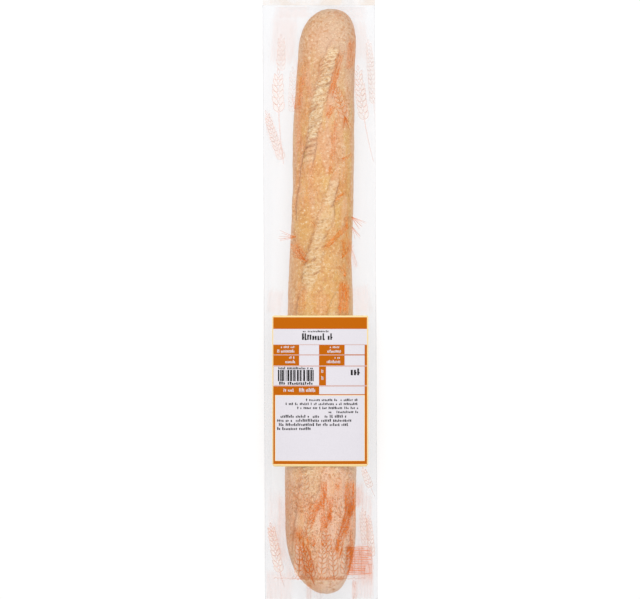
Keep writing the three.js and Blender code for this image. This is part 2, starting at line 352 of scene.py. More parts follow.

# %% [markdown]
# ## The slashes
#
# Before baking, the baker draws a blade down the dough in long, slanting cuts. Each cut tears
# open in the oven: one side lifts into a lip, the ear, with a dark gap under its edge, and the
# torn crumb beside it bakes pale and rough, with ridges across the cut. The relief is worked
# out from the distance along each cut and to its side. It could be painted as bump alone, but
# then the ears would have no shadow and no edge, so it moves the loaf's own vertices. The shade
# in the gaps under the lips and in the creases of the crumb is also painted into the colour.

# %% The cuts
# A cut's path is a list of (y, x of its middle, half width), from its near end to its far end.
# Its torn crumb stayed pale along one stretch of y. "bare" says how bare of crust that crumb is,
# place by place, and the last two rows the stretches where its left and right lips gape.
CUTS = [
    {
        "path": [
            (-206, -21.5, 0), (-198, -20, 2.4), (-182, -17, 4.4), (-169, -14.6, 5.6), (-160, -11.2, 7.7),
            (-150, -9, 8.9), (-142, -7.4, 9), (-134, -6, 9), (-118, -1.6, 7.6), (-100, 5, 5),
            (-88, 8, 0),
        ],
        "pale": (-163, -94),
        "bare": [(-160, 0.5), (-130, 0.7)],
        "left_gapes": [(-206, -166)],
        "right_gapes": [(-172, -136)],
    },
    {
        "path": [
            (-112, -16, 0), (-100, -13, 4), (-80, -7, 6), (-50, 1, 6), (-20, 9, 5), (0, 13.5, 3.2),
            (10, 15, 0),
        ],
        "pale": (-90, -6),
        "bare": [(-90, 1)],
        "left_gapes": [(-112, -96)],
        "right_gapes": [(-40, -20)],
    },
    {
        "path": [
            (-21, -18, 0), (-14.8, -16.6, 2.8), (-0.4, -13, 5.0), (14, -9.2, 6.6), (27.6, -6.4, 7.4),
            (47.6, -0.8, 7.2), (67.6, 5.4, 5.8), (81.2, 8.2, 4.6), (94, 12, 3.8), (103.6, 14.4, 2.6),
            (111.6, 15.2, 0),
        ],
        "pale": (0, 100),
        "bare": [
            (0, 0.35), (8, 0.7), (18, 0.9), (35, 0.75), (50, 0.65), (62, 0.6), (69, 0.4), (76, 0.6),
            (90, 0.7), (100, 0.5),
        ],
        "left_gapes": [(-20, 4), (34, 56)],
        "right_gapes": [(66, 92)],
    },
    {
        "path": [
            (58, -18.6, 0), (67.6, -17.2, 2.6), (94.8, -13.2, 4.5), (119.6, -8, 5.5), (146, -3.8, 6.0),
            (173, 2.6, 6.2), (186, 6, 6.2), (199.6, 10.4, 5.0), (212, 13, 0),
        ],
        "pale": (106, 205),
        "bare": [(104, 0.4), (113, 0.5), (125, 0.7), (134, 1), (170, 1), (182, 0.85), (200, 0.75)],
        "left_gapes": [(62, 124)],
        "right_gapes": [(158, 188)],
    },
]

# %% [markdown]
# A torn edge is never even, so every line of a cut wanders. Noise along it comes in waves of a
# few lengths, which is cheaper than shaping each edge by hand and looks as random as a tear. One
# cut gets its own numbers by adding its place in the list to each wave's seed.

# %% Slash relief
CUT_DEPTH = 1.6
THINNEST_CUT, FULL_CUT = 0.3, 3.0  # half widths where a cut starts and where it has its full relief
CROWN = 0.9  # the torn crumb swells up in the middle of the cut
RIDGE = 0.9  # height of the small pillows across it, and depth of the creases between them
EAR_HEIGHT, EAR_SPREAD = 1.3, 3.4
LOW_LIP_HEIGHT, LOW_LIP_SPREAD = 0.4, 1.6
OVERHANG, OVERHANG_SPREAD = 0.8, 1.4
LEFT_GAP_DEPTH, LEFT_GAP_WIDTH = 0.9, 0.38
RIGHT_GAP_DEPTH, RIGHT_GAP_WIDTH = 0.7, 0.36
GAPE_SOFTNESS = 4
# Waves are (length in mm, height, seed).
MIDDLE_WAVES = [(13, 1.1, 0), (3.1, 0.5, 10)]
WIDTH_WAVES = [(11, 0.22, 20), (3.4, 0.12, 25)]


def noise_along(values, seed):
    """Smooth random values from -1 to 1 along a line."""
    found = [noise.noise(Vector((v, seed * 7.31, 0.5))) for v in values.ravel()]
    return np.array(found).reshape(values.shape)


def wander(here, waves, number):
    return sum(height * noise_along(here / length, number + seed) for length, height, seed in waves)


def gaping(here, stretches):
    """1 along the stretches where a lip gapes, 0 beyond them, with soft ends."""
    soft = GAPE_SOFTNESS
    return sum(smooth(a - soft, a + soft, here) * smooth(b + soft, b - soft, here) for a, b in stretches)


def lip_opening(here, usual, stretches, number):
    """How far a lip stands open along a cut: a usual amount, and in dashes where it gapes."""
    dashes = 0.75 + 0.8 * noise_along(here / 2.4, number + 85)
    return np.maximum(usual, np.clip(gaping(here, stretches) * dashes, 0, 1))


def crumb_texture(here, d, number):
    """The torn crumb's pillows, the creases between them, and its patches bare of crust."""
    across = here + 0.35 * d + 0.9 * noise_along(d / 3.0, number + 60)
    wave = noise_along(across / 2.7, number + 30)
    broken = smooth(-0.35, 0.3, noise_along(d / 2.6 + here / 5, number + 40))
    crease = np.exp(-((wave / 0.12) ** 2)) * broken
    ridges = 1.3 * np.abs(wave) - 0.9 * crease
    patch = 0.78 + 0.45 * noise_along(here / 8 + 0.12 * d, number + 50) + 0.3 * ridges
    patch += 0.5 * noise_along(here / 2.6 + 0.9 * noise_along(d / 2.2, number + 80), number + 90)
    return ridges, crease, patch


def beside_cut(x, here, path, number):
    """How far points lie to the left of a cut's wandering middle, and its half width there."""
    d = through(path[:, :2], here) - x + wander(here, MIDDLE_WAVES, number)
    half = np.maximum(through(path[:, ::2], here), THINNEST_CUT) * (1 + wander(here, WIDTH_WAVES, number))
    return d, half


def lip_gaps(here, d, half, pale, cut, number):
    """How open the gaps under a cut's left and right lips are, from 0 to 1: how deep they sink, and how much
    painted shade darkens them.
    """
    far_part = smooth(*cut["pale"], here)
    left_usual = np.clip(0.35 + 1.5 * noise_along(here / 12, number + 70), 0.05, 1) * (1.1 - far_part)
    right_usual = np.clip(0.30 + 1.5 * noise_along(here / 14, number + 75), 0.05, 1)
    left_gap = lip_opening(here, left_usual, cut["left_gapes"], number)
    left_gap *= np.exp(-(((d - half + 0.4) / LEFT_GAP_WIDTH) ** 2))
    right_gap = pale * lip_opening(here, right_usual, cut["right_gapes"], number)
    right_gap *= np.exp(-(((d + half - 0.2) / RIGHT_GAP_WIDTH) ** 2))
    return left_gap, right_gap


def slash_relief(x, y):
    """What the cuts do at (x, y): rise, shift to the side, torn crumb, and painted shade in gaps and creases.
    """
    rise, shift, torn, gap = (np.zeros_like(x) for _ in range(4))
    for number, cut in enumerate(CUTS, 1):
        path = np.array(cut["path"], float)
        near = (y > path[0, 0]) & (y < path[-1, 0])
        here = y[near]
        d, half = beside_cut(x[near], here, path, number)
        u = d / half
        taper, inside = smooth(THINNEST_CUT, FULL_CUT, half), smooth(1.08, 0.90, np.abs(u))
        near_end, far_end = cut["pale"]
        pale = smooth(far_end + 3, far_end - 9, here) * smooth(near_end - 10, near_end + 12, here)
        ridges, crease, patch = crumb_texture(here, d, number)
        left_gap, right_gap = lip_gaps(here, d, half, pale, cut, number)

        floor = -CUT_DEPTH * np.clip((u + 1) / 2, 0, 1) ** 1.8 + CROWN * np.clip(1 - u * u, 0, 1)
        inner = inside * (floor * (0.3 + 0.7 * pale) + RIDGE * (0.2 + 0.8 * pale) * ridges)
        left, right = np.maximum(d - half, 0), np.maximum(-d - half, 0)
        ear = EAR_HEIGHT * np.exp(-left / EAR_SPREAD) * smooth(-0.1, 0.5, d - half)
        low_lip = LOW_LIP_HEIGHT * np.exp(-right / LOW_LIP_SPREAD) * smooth(-0.1, 0.4, -d - half)
        gaps = LEFT_GAP_DEPTH * left_gap + RIGHT_GAP_DEPTH * right_gap
        rise[near] += taper * (inner + ear + low_lip * pale - gaps)
        shift[near] -= taper * OVERHANG * np.exp(-left / OVERHANG_SPREAD) * smooth(-0.3, 0.3, d - half)

        bare = smooth(1.12, 0.72, np.abs(u)) * pale * np.clip(patch - 0.3 * np.clip(-u, 0, 1), 0, 1)
        torn[near] = np.maximum(torn[near], bare * np.interp(here, *zip(*cut["bare"])))
        # Painted shade: the gaps under the lips and the creases in the crumb are darkened in the crust's
        # colour.
        dark = np.maximum(np.maximum(left_gap, right_gap), 0.9 * inside * crease * pale)
        gap[near] = np.maximum(gap[near], taper * dark)
    return rise, shift, torn, gap


# %% [markdown]
# ## The loaf's mesh
#
# The loaf is a skin of rings, close enough together to carry the slashes' torn edges and the
# crust's small blisters as real shape. Its points are spread evenly round the section, more
# closely on the crust than on the base. What the relief knows about each point, such as torn
# crumb or the painted shade of a gap, goes into a colour attribute for the crust's material to
# read.

# %% Mesh helpers
def noise_at(points, size):
    """Smooth random values from -1 to 1 at points, for lumps of a size in mm (one or three numbers)."""
    return np.array([noise.noise(Vector(p)) for p in points / np.array(size)])


def grid_faces(rows, columns, wrap=False):
    """Quads of a grid whose points are stored row by row. wrap joins the last column to the first."""
    across = np.arange(columns if wrap else columns - 1)
    row, column = np.meshgrid(np.arange(rows - 1), across, indexing="ij")
    nearer = row * columns
    following = (column + 1) % columns
    corners = [nearer + column, nearer + following, nearer + columns + following, nearer + columns + column]
    return np.stack(corners, -1).reshape(-1, 4)


def new_piece(name, points, faces, materials, attribute=None, replaces=None):
    """A mesh piece from points in mm. attribute is (name, RGBA for each point)."""
    mesh = bpy.data.meshes.new(name)
    mesh.from_pydata((np.asarray(points) * MM).tolist(), [], [list(face) for face in faces])
    mesh.shade_smooth()
    for material in materials:
        mesh.materials.append(material)
    if attribute:
        layer = mesh.color_attributes.new(name=attribute[0], type="FLOAT_COLOR", domain="POINT")
        layer.data.foreach_set("color", np.asarray(attribute[1], np.float32).ravel())
    piece = bpy.data.objects.new(name, mesh)
    scene.collection.objects.link(piece)
    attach(piece, "root")
    if replaces:
        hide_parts(replaces)
    print(f"{name}: {len(mesh.vertices)} points, {len(mesh.polygons)} faces")
    return piece


# %% Loaf rings
RING_STEP = 0.85
TIP_LENGTH, TIP_RINGS = 10.0, 16
CRUST_POINTS, BASE_POINTS = 116, 36
BASE_CLEARANCE = 0.5  # film and air under the loaf
FINE_STEPS = 4001


def ring_places():
    """Ring places along the loaf: closer together where its ends round off."""
    steps = np.arange(1, TIP_RINGS + 1) / TIP_RINGS
    tip = TIP_LENGTH * (1 - np.cos(np.pi / 2 * steps))
    low, high = LOAF_BOTTOM_END + TIP_LENGTH, LOAF_TOP_END - TIP_LENGTH
    body = np.linspace(low, high, round((high - low) / RING_STEP))
    return np.concatenate([LOAF_BOTTOM_END + tip[:-1], body, LOAF_TOP_END - tip[-2::-1]])


def superellipse(angles, power):
    """Points on a rounded square's upper half, across and up, at angles from 0 to 180 degrees."""
    across = np.sign(np.cos(angles)) * np.abs(np.cos(angles)) ** (2 / power)
    return across, np.sin(angles).clip(0) ** (2 / power)


def even_angles(power, rise, count):
    """Angles whose points lie evenly along a superellipse that is rise as high as half its width."""
    fine = np.linspace(0, np.pi, FINE_STEPS)
    across, up = superellipse(fine, power)
    run = np.concatenate([[0], np.cumsum(np.hypot(np.diff(across), np.diff(rise * up)))])
    return np.interp(np.linspace(0, run[-1], count), run, fine)


def unit_section():
    """The section's points, as shares of its half width and of the heights above and below its shoulder."""
    crust = even_angles(DOME_POWER, 2 * HEIGHT_TO_WIDTH * (1 - SHOULDER_HEIGHT), CRUST_POINTS)
    base = even_angles(BASE_POWER, 2 * HEIGHT_TO_WIDTH * SHOULDER_HEIGHT, BASE_POINTS + 2)[1:-1]
    crust_x, crust_up = superellipse(crust, DOME_POWER)
    base_x, base_down = superellipse(base, BASE_POWER)
    return np.concatenate([crust_x, -base_x]), np.concatenate([crust_up, -base_down])


def loaf_points(across, up):
    """The plain loaf, ring by ring, as an array of rings x points x 3."""
    y = ring_places()
    middle, half_width, shoulder, height = loaf_at(y)
    over = (height - shoulder)[:, None] * up.clip(0)
    under = (shoulder - BASE_CLEARANCE)[:, None] * fullness(y)[:, None] * up.clip(None, 0)
    x = middle[:, None] + half_width[:, None] * across
    z = shoulder[:, None] + over + under
    return np.stack([x, np.broadcast_to(y[:, None], x.shape), z], -1)


def outward(points):
    """Unit normals of a tube of rings, pointing out."""
    round_it = np.roll(points, -1, 1) - np.roll(points, 1, 1)
    along_it = np.gradient(points, axis=0)
    normal = np.cross(along_it, round_it)
    return normal / np.linalg.norm(normal, axis=-1, keepdims=True)


# %% [markdown]
# The crust is lumpy at three scales: hand-made unevenness over several centimetres, the dimples
# of a moulded dough over one, and blisters of a millimetre or two.

# %% Build the loaf's shape
LUMPS = [(46, 0.55), (13, 0.30), (4.2, 0.16)]  # size and height, in mm
BLISTER_SPACING, BLISTER_RADIUS, BLISTER_HEIGHT = 3.1, 0.42, 0.32
BLISTERED_FROM = 0.45  # the cells of this chance and more have a blister


def blisters(points):
    """Small raised blisters, one in each cell that has one."""
    found = np.zeros(len(points))
    for k, place in enumerate(points / BLISTER_SPACING):
        distances, centres = noise.voronoi(Vector(place))
        if noise.cell(centres[0] * 3.7) > BLISTERED_FROM:
            found[k] = max(0.0, 1 - distances[0] / BLISTER_RADIUS)
    return found * found * (3 - 2 * found)


def make_loaf_shape():
    """The loaf's points, and for each point how torn, how darkened by painted shade and how blistered it is,
    and how far on a flank.
    """
    across, up = unit_section()
    plain = loaf_points(across, up)
    flat = plain.reshape(-1, 3)
    rise, shift, torn, gap = slash_relief(flat[:, 0], flat[:, 1])
    upper, flank = (np.tile(smooth(*limits, up), len(plain)) for limits in ((0.10, 0.30), (0.62, 0.12)))
    lumps = sum(height * noise_at(flat, size) for size, height in LUMPS)
    blister = blisters(flat)
    on_crust = 1 - 0.85 * torn * upper
    above_base = smooth(0.0, 4.0, flat[:, 2] - BASE_CLEARANCE)
    move = upper * rise + above_base * (lumps + on_crust * BLISTER_HEIGHT * blister)
    shaped = flat + outward(plain).reshape(-1, 3) * move[:, None]
    shaped[:, 0] += upper * shift
    shaped[:, 2] = np.maximum(shaped[:, 2], BASE_CLEARANCE)
    facts = np.stack([upper * torn, upper * gap, blister, flank], -1)
    return shaped.reshape(plain.shape), facts


loaf_shape, loaf_facts = make_loaf_shape()
print("loaf, mm:", loaf_shape.min((0, 1)).round(1), loaf_shape.max((0, 1)).round(1))

# %% [markdown]
# ## Crust
#
# The crust is a dry, faintly shiny tan with a warmer right flank and a pinker left one, paler
# where flour stayed on. Streaks run along it from the rolling, and fine specks of bran and
# darker blisters lie all over. In the cuts the crumb is cream coloured and quite dull. All of
# this is one material, mixed by noise in the loaf's own coordinates and by the attribute that
# marks torn crumb and the painted shade of gaps. It is built in layers, from the broad colours
# to the small marks. Some light and shade is painted in too: the sides are paler, partly
# because they bake less and partly as painted light, the left flank at the near end has painted
# shade, and light rims round small craters are painted highlights.

# %% Crust colours
CRUST_TAN = colour(220, 162, 92)
CRUST_LIGHT = colour(229, 183, 116)
CRUST_DARK = colour(200, 131, 68)
CRUST_GOLD = colour(217, 165, 84)
CRUST_ORANGE = colour(221, 143, 74)
CRUST_PINK = colour(232, 182, 156)
CRUST_FLOURED = colour(220, 182, 151)
CRUST_NEAR_END = colour(240, 204, 180)
CRUST_BROWN = colour(198, 146, 108)
# Paler crust on the flanks, partly as painted light that keeps the sides as bright as the top.
FLANK_PALE_AND_PAINTED_LIGHT = colour(236, 194, 152)
FLOUR = colour(242, 214, 174)
CRUMB_CREAM = colour(250, 226, 187)
CRUMB_TAN = colour(210, 156, 96)
# Painted shade for the gaps under the lips and the crumb's creases.
PAINTED_GAP_SHADE = colour(160, 100, 56)
BRAN_BROWN = colour(150, 98, 52)
# Streaks are (tint, width in mm, shift of the pattern in metres, share).
CRUST_STREAKS = [(CRUST_GOLD, 7.0, 0.0, 0.60), (CRUST_PINK, 6.0, 0.31, 0.50), (CRUST_ORANGE, 5.0, 0.67, 0.42)]
# The light rims are painted highlights round small craters; the dark ones are thin dark lines beside them.
RIM_HIGHLIGHTS_AND_DARK_LINES = [(0.47, FLOUR, 0.85), (0.55, BRAN_BROWN, 0.45)]  # level of the noise, tint and share


def broad_colours(place, patches, flank):
    """The crust's broad colours, with painted light on the flanks and painted shade on the left flank at the
    near end, and masks of its golden middle, its near end and that end's rough part.
    """
    tree = tree_of(place)
    x, y, _ = add_node(tree, "SeparateXYZ", Vector=place).outputs
    shade = blend(where(patches, 0.35, 0.68), CRUST_TAN, CRUST_LIGHT)
    for tint, width, shift, share in CRUST_STREAKS:
        moved = add_node(tree, "VectorMath", {"operation": "ADD"}, in_0=place, in_1=(shift, shift, 0))
        streaks = effect(STREAKS, moved.outputs[0], Width_mm=width, Length_mm=28.0, Contrast=0.80)
        shade = coat(shade, streaks, share, tint)
    wandering = plus(y, times(patches, 0.05))
    golden = times(where(wandering, -0.06, 0.01), where(wandering, 0.13, 0.06))
    far_end, near_end = where(wandering, 0.14, 0.24), where(wandering, -0.07, -0.15)
    left = where(plus(x, times(patches, 0.012)), -0.006, -0.021)
    right = plus(times(where(x, -0.016, 0.012), 0.5), 0.35)
    shade = coat(shade, golden, 0.60, CRUST_GOLD)
    # The flanks: paler crust, and painted light that brightens the loaf's sides.
    shade = coat(shade, flank, 0.65, FLANK_PALE_AND_PAINTED_LIGHT)
    shade = coat(shade, left, 0.45, CRUST_PINK)
    shade = coat(shade, far_end, right, CRUST_FLOURED)
    shade = coat(shade, near_end, right, CRUST_NEAR_END)
    # Painted shade: the left flank at the near end is darkened, as if it lay in shade.
    shade = coat(shade, times(near_end, left), 0.50, CRUST_BROWN)
    return shade, golden, near_end, times(near_end, where(y, -0.230, -0.216))


def small_marks(shade, place, patches, mottle, blister, rough):
    """Dark and floured spots, blisters, fine speckle, and thin rims: light ones that are painted highlights
    round small craters, and dark lines beside them.
    """
    busy = plus(where(patches, 0.56, 0.46), 0.15)
    shade = coat(shade, times(where(mottle, 0.48, 0.62), busy), 0.65, CRUST_DARK)
    shade = coat(shade, times(where(mottle, 0.45, 0.31), busy), 0.85, FLOUR)
    shade = coat(shade, blister, 0.45, FLOUR)
    fine = effect(GRAIN, place, Size_mm=1.4, Roughness=0.6)
    speckle = plus(times(times(rough, busy), 0.40), 0.10)
    shade = coat(shade, where(fine, 0.53, 0.62), speckle, BRAN_BROWN)
    shade = coat(shade, where(fine, 0.46, 0.37), speckle, FLOUR)
    rims = effect(GRAIN, place, Size_mm=2.6, Roughness=0.5)
    broken = times(where(patches, 0.42, 0.54), where(mottle, 0.58, 0.44))
    # Thin rims from noise contours: painted highlights round small craters, and dark lines.
    for level, tint, share in RIM_HIGHLIGHTS_AND_DARK_LINES:
        off_rim = maths("ABSOLUTE", maths("SUBTRACT", rims, level))
        shade = coat(shade, times(where(off_rim, 0.028, 0.006), broken), share, tint)
    return shade


def crumb_colour(place, golden, near_end):
    """The torn crumb: cream with tan ridges, more golden or browner where the crust is."""
    mottle = effect(GRAIN, place, Size_mm=1.5, Roughness=0.75)
    across_cut = effect(STREAKS, place, Width_mm=3.4, Length_mm=1.3, Contrast=0.78)
    ridged = plus(times(where(mottle, 0.42, 0.62), 0.55), times(across_cut, 0.5))
    crumb = coat(blend(ridged, CRUMB_CREAM, CRUMB_TAN), golden, 0.25, CRUST_GOLD)
    broken = plus(times(where(mottle, 0.46, 0.58), 0.5), 0.15)
    return coat(crumb, near_end, broken, CRUST_BROWN)


# %% Crust material
def crust_material():
    material, tree, place = new_material("baked crust")
    facts = add_node(tree, "VertexColor", {"layer_name": "bake"}).outputs
    torn, gap, blister = add_node(tree, "SeparateColor", Color=facts["Color"]).outputs
    patches = effect(GRAIN, place, Size_mm=16.0, Roughness=0.55)
    mottle = effect(GRAIN, place, Size_mm=2.4, Roughness=0.72)
    shade, golden, near_end, rough = broad_colours(place, patches, facts["Alpha"])
    shade = small_marks(shade, place, patches, mottle, blister, rough)
    shade = blend(where(torn, 0.10, 0.80), shade, crumb_colour(place, golden, near_end))
    # Painted shade: the gaps under the lips and the creases in the crumb are darkened.
    shade = coat(shade, gap, 0.7, PAINTED_GAP_SHADE)
    bran = effect(SPECKS, place, Spacing_mm=2.5, Share=0.30, Radius=0.30)
    shade = coat(shade, bran, 0.75, BRAN_BROWN)
    dust = effect(SPECKS, place, Spacing_mm=2.1, Share=0.35, Radius=0.36)
    shade = coat(shade, dust, 0.8, FLOUR)

    pores = effect(GRAIN, place, Size_mm=0.9, Roughness=0.7)
    relief = plus(times(mottle, 0.9), times(pores, plus(times(torn, 0.9), 0.35)))
    bump = add_node(tree, "Bump", Height=relief, Strength=0.7, Distance=0.0009).outputs[0]
    dull = plus(times(torn, 0.25), plus(times(mottle, 0.15), 0.48))
    skin = add_node(
        tree, "BsdfPrincipled", Base_Color=shade, Roughness=dull, Normal=bump, Specular_IOR_Level=0.3,
    )
    return finish_material(material, skin)

# %% [markdown]
# ## The film's form
#
# Film doesn't stretch: pulled over a loaf it runs straight from the side creases to the crust
# and straight over every hollow. That is the upper hull of what it passes over, first across
# the sleeve and then along it. The stiff label holds the film in its own gentle curve, and
# beyond the label's ends the film goes back to its tent. Loose folds are laid on where nothing
# carries it.

# %% Sleeve sizes
SLEEVE_SKEW = 1.1
SLEEVE_HALF_WIDTH = (bag_high[0] - bag_low[0]) / 2 - SLEEVE_SKEW
SLEEVE_TOP_END, SLEEVE_BOTTOM_END = bag_high[1], bag_low[1]
WELD_AT_TOP, WELD_AT_BOTTOM = 11, 6
TUBE_TOP_END, TUBE_BOTTOM_END = SLEEVE_TOP_END - WELD_AT_TOP, SLEEVE_BOTTOM_END + WELD_AT_BOTTOM
WELD_HEIGHT = 0.6
CREASE_HEIGHT, CREASE_HEIGHT_AT_LABEL = 7, 12
CREASE_RISE_LENGTH = 45
BACK_HALF_FLAT, BACK_CURL = 26, 1.6
FILM_ABOVE_TABLE = 0.15
FILM_STAND_OFF = 0.5
LABEL_WIDTH, LABEL_LENGTH = 76.6, label_high[1] - label_low[1]
LABEL_CENTRE_X, LABEL_CENTRE_Y = 0.2, (label_high[1] + label_low[1]) / 2
LABEL_DROP, LABEL_HOLD, LABEL_FADE = 5, 3, 32


def skew_at(y):
    """The sleeve lies slightly askew: its top end is a little to the left."""
    return -SLEEVE_SKEW * y / SLEEVE_TOP_END


def from_tube_end(y):
    """How far y is from the nearer end of the tube between the welds."""
    return np.minimum(TUBE_TOP_END - y, y - TUBE_BOTTOM_END)


def label_hold(y):
    past = np.abs(y - LABEL_CENTRE_Y) - LABEL_LENGTH / 2 - LABEL_HOLD
    return 1 - smooth(0, LABEL_FADE, past)


def by_label(x, y, beside, beyond):
    """Whether places lie within the label, enlarged by so much at its sides and its ends."""
    across = np.abs(x - LABEL_CENTRE_X) < LABEL_WIDTH / 2 + beside
    return across & (np.abs(y - LABEL_CENTRE_Y) < LABEL_LENGTH / 2 + beyond)


def crease_height(y):
    full = CREASE_HEIGHT + (CREASE_HEIGHT_AT_LABEL - CREASE_HEIGHT) * label_hold(y)
    return WELD_HEIGHT + (full - WELD_HEIGHT) * smooth(0, CREASE_RISE_LENGTH, from_tube_end(y))


def label_form(x, y):
    """The film's height where the label holds it, for places x across at the rows y."""
    top = loaf_at(y)[3] + FILM_STAND_OFF
    out = np.abs(x - LABEL_CENTRE_X) / (LABEL_WIDTH / 2)
    edge = LABEL_WIDTH / 2 + LABEL_CENTRE_X
    rest = np.clip((np.abs(x) - edge) / (SLEEVE_HALF_WIDTH - edge), 0, 1)
    beside = (top - LABEL_DROP) * (1 - rest) + crease_height(y) * rest
    return np.where(out <= 1, top - LABEL_DROP * out * out, beside)


# %% Draw the film tight
SIDE_COLUMNS, LABEL_COLUMNS = 8, 76
ROW_STEP = 1.2
NOTHING_THERE = -99.0
SAG, SAG_DEPTH, SAG_REACH = 0.4, 3, 2  # film sinks a little into hollows, but not into deep ones


def drawn_tight(place, height):
    """The upper hull of heights at rising places, read off at every place."""
    hull = []
    for point in zip(place, height):
        while len(hull) > 1:
            (ax, az), (bx, bz) = hull[-2:]
            if (bx - ax) * (point[1] - az) - (bz - az) * (point[0] - ax) < 0:
                break
            hull.pop()
        hull.append(point)
    return np.interp(place, *np.array(hull).T)


def crust_heights(columns, rows):
    """The top of the crust under the film's grid; far below the table beside the loaf."""
    heights = np.full((len(rows), len(columns)), NOTHING_THERE)
    ring_y = loaf_shape[:, 0, 1]
    for j, y in enumerate(rows):
        ring = np.searchsorted(ring_y, y)
        if 0 < ring < len(ring_y):
            share = (y - ring_y[ring - 1]) / (ring_y[ring] - ring_y[ring - 1])
            section = loaf_shape[ring - 1] * (1 - share) + loaf_shape[ring] * share
            crust = section[:CRUST_POINTS][::-1]
            x, z = np.maximum.accumulate(crust[:, 0]), crust[:, 2]
            heights[j] = np.interp(columns + skew_at(y), x, z, left=NOTHING_THERE, right=NOTHING_THERE)
    return heights


def film_grid():
    """The film's front: columns x, rows y, its height at each crossing, and the crust's below it."""
    left, right = LABEL_CENTRE_X - LABEL_WIDTH / 2, LABEL_CENTRE_X + LABEL_WIDTH / 2
    columns = np.concatenate([
        np.linspace(-SLEEVE_HALF_WIDTH, left, SIDE_COLUMNS, endpoint=False),
        np.linspace(left, right, LABEL_COLUMNS, endpoint=False),
        np.linspace(right, SLEEVE_HALF_WIDTH, SIDE_COLUMNS + 1),
    ])
    rows = np.linspace(TUBE_BOTTOM_END, TUBE_TOP_END, round((TUBE_TOP_END - TUBE_BOTTOM_END) / ROW_STEP))
    x, y = np.meshgrid(columns, rows)
    crust = crust_heights(columns, rows) + FILM_STAND_OFF
    film = crust.copy()
    film[:, [0, -1]] = crease_height(rows)[:, None]
    film[[0, -1]] = WELD_HEIGHT
    for j in range(1, len(rows) - 1):
        film[j] = drawn_tight(columns, film[j])
    for i in range(1, len(columns) - 1):
        film[:, i] = drawn_tight(rows, film[:, i])
    hollow = film - crust
    film -= SAG * np.minimum(hollow, SAG_DEPTH) * np.exp(-((hollow / SAG_REACH) ** 2))
    hold = label_hold(y)
    return columns, rows, film * (1 - hold) + label_form(x, y) * hold, crust


film_columns, film_rows, film_heights, under_film = film_grid()
print("film grid:", film_heights.shape, "highest, mm:", film_heights.max().round(1))

# %% [markdown]
# Loose film folds along the way it is pulled. A seeded draw lays soft, narrow ridges down both
# free sides, a fan of them at each end, where the tube flattens into its weld, and a few that
# run out from the label's corners. Folds, and later brush strokes and bristles, are all worked
# out along an axis of their own, so two helpers go to such an axis and back.


# %% Axes
def seen_from_axis(x, y, start, angle):
    """How far places are along an axis, and to its right. angle is from the sleeve's long axis."""
    dx, dy = x - start[0], y - start[1]
    sine, cosine = math.sin(angle), math.cos(angle)
    return dx * sine + dy * cosine, dx * cosine - dy * sine


def on_axis(start, angle, along, aside):
    """The way back: points from their distances along an axis and to its right."""
    sine, cosine = math.sin(angle), math.cos(angle)
    return np.stack([start[0] + along * sine + aside * cosine, start[1] + along * cosine - aside * sine], -1)


# %% Folds in the film
SIDE_FOLDS, END_FOLDS, CORNER_FOLDS = 70, 13, 3
FOLD_SEED = 11
# Ranges in mm that each kind of fold has its length, width and height drawn from.
SIDE_FOLD_SIZES = [(25, 80), (0.9, 2.4), (0.25, 0.9)]
END_FOLD_SIZES = [(18, 34), (0.8, 1.5), (0.4, 1.1)]
CORNER_FOLD_SIZES = [(22, 46), (1.0, 2.0), (0.5, 1.3)]
# Ranges of how far out from the middle they lie, and how far from the tube's or the label's ends.
SIDE_FOLD_OUT, CORNER_FOLD_OUT = (27, 42), (26, 38)
END_FOLD_IN, CORNER_FOLD_BEYOND = (6, 14), (8, 26)
END_FAN_HALF_WIDTH = 38
# Angles in radians: a spread for the folds at the sides, and ranges for the others.
SIDE_FOLD_TURN, END_FOLD_TURN, CORNER_FOLD_TURN = 0.22, (0.3, 0.7), (0.15, 0.7)


def draw_folds(rng):
    """The folds to lay, each as its middle, its angle, and its length, width and height."""
    def sized(ranges):
        return [rng.uniform(*limits) for limits in ranges]

    folds = []
    for _ in range(SIDE_FOLDS):
        side = rng.choice((-1, 1))
        middle = (side * rng.uniform(*SIDE_FOLD_OUT), rng.uniform(TUBE_BOTTOM_END, TUBE_TOP_END))
        folds.append((middle, rng.gauss(0, SIDE_FOLD_TURN), *sized(SIDE_FOLD_SIZES)))
    for end, way in ((TUBE_TOP_END, 1), (TUBE_BOTTOM_END, -1)):
        for k in range(END_FOLDS):
            across = (k + 0.5) / END_FOLDS * 2 - 1 + rng.uniform(-0.05, 0.05)
            middle = (across * END_FAN_HALF_WIDTH, end - way * rng.uniform(*END_FOLD_IN))
            folds.append((middle, -way * across * rng.uniform(*END_FOLD_TURN), *sized(END_FOLD_SIZES)))
    for side, way in ((-1, -1), (-1, 1), (1, -1), (1, 1)):
        for _ in range(CORNER_FOLDS):
            out = side * rng.uniform(*CORNER_FOLD_OUT)
            beyond = LABEL_LENGTH / 2 + rng.uniform(*CORNER_FOLD_BEYOND)
            turn = -side * way * rng.uniform(*CORNER_FOLD_TURN)
            folds.append(((out, LABEL_CENTRE_Y + way * beyond), turn, *sized(CORNER_FOLD_SIZES)))
    return folds


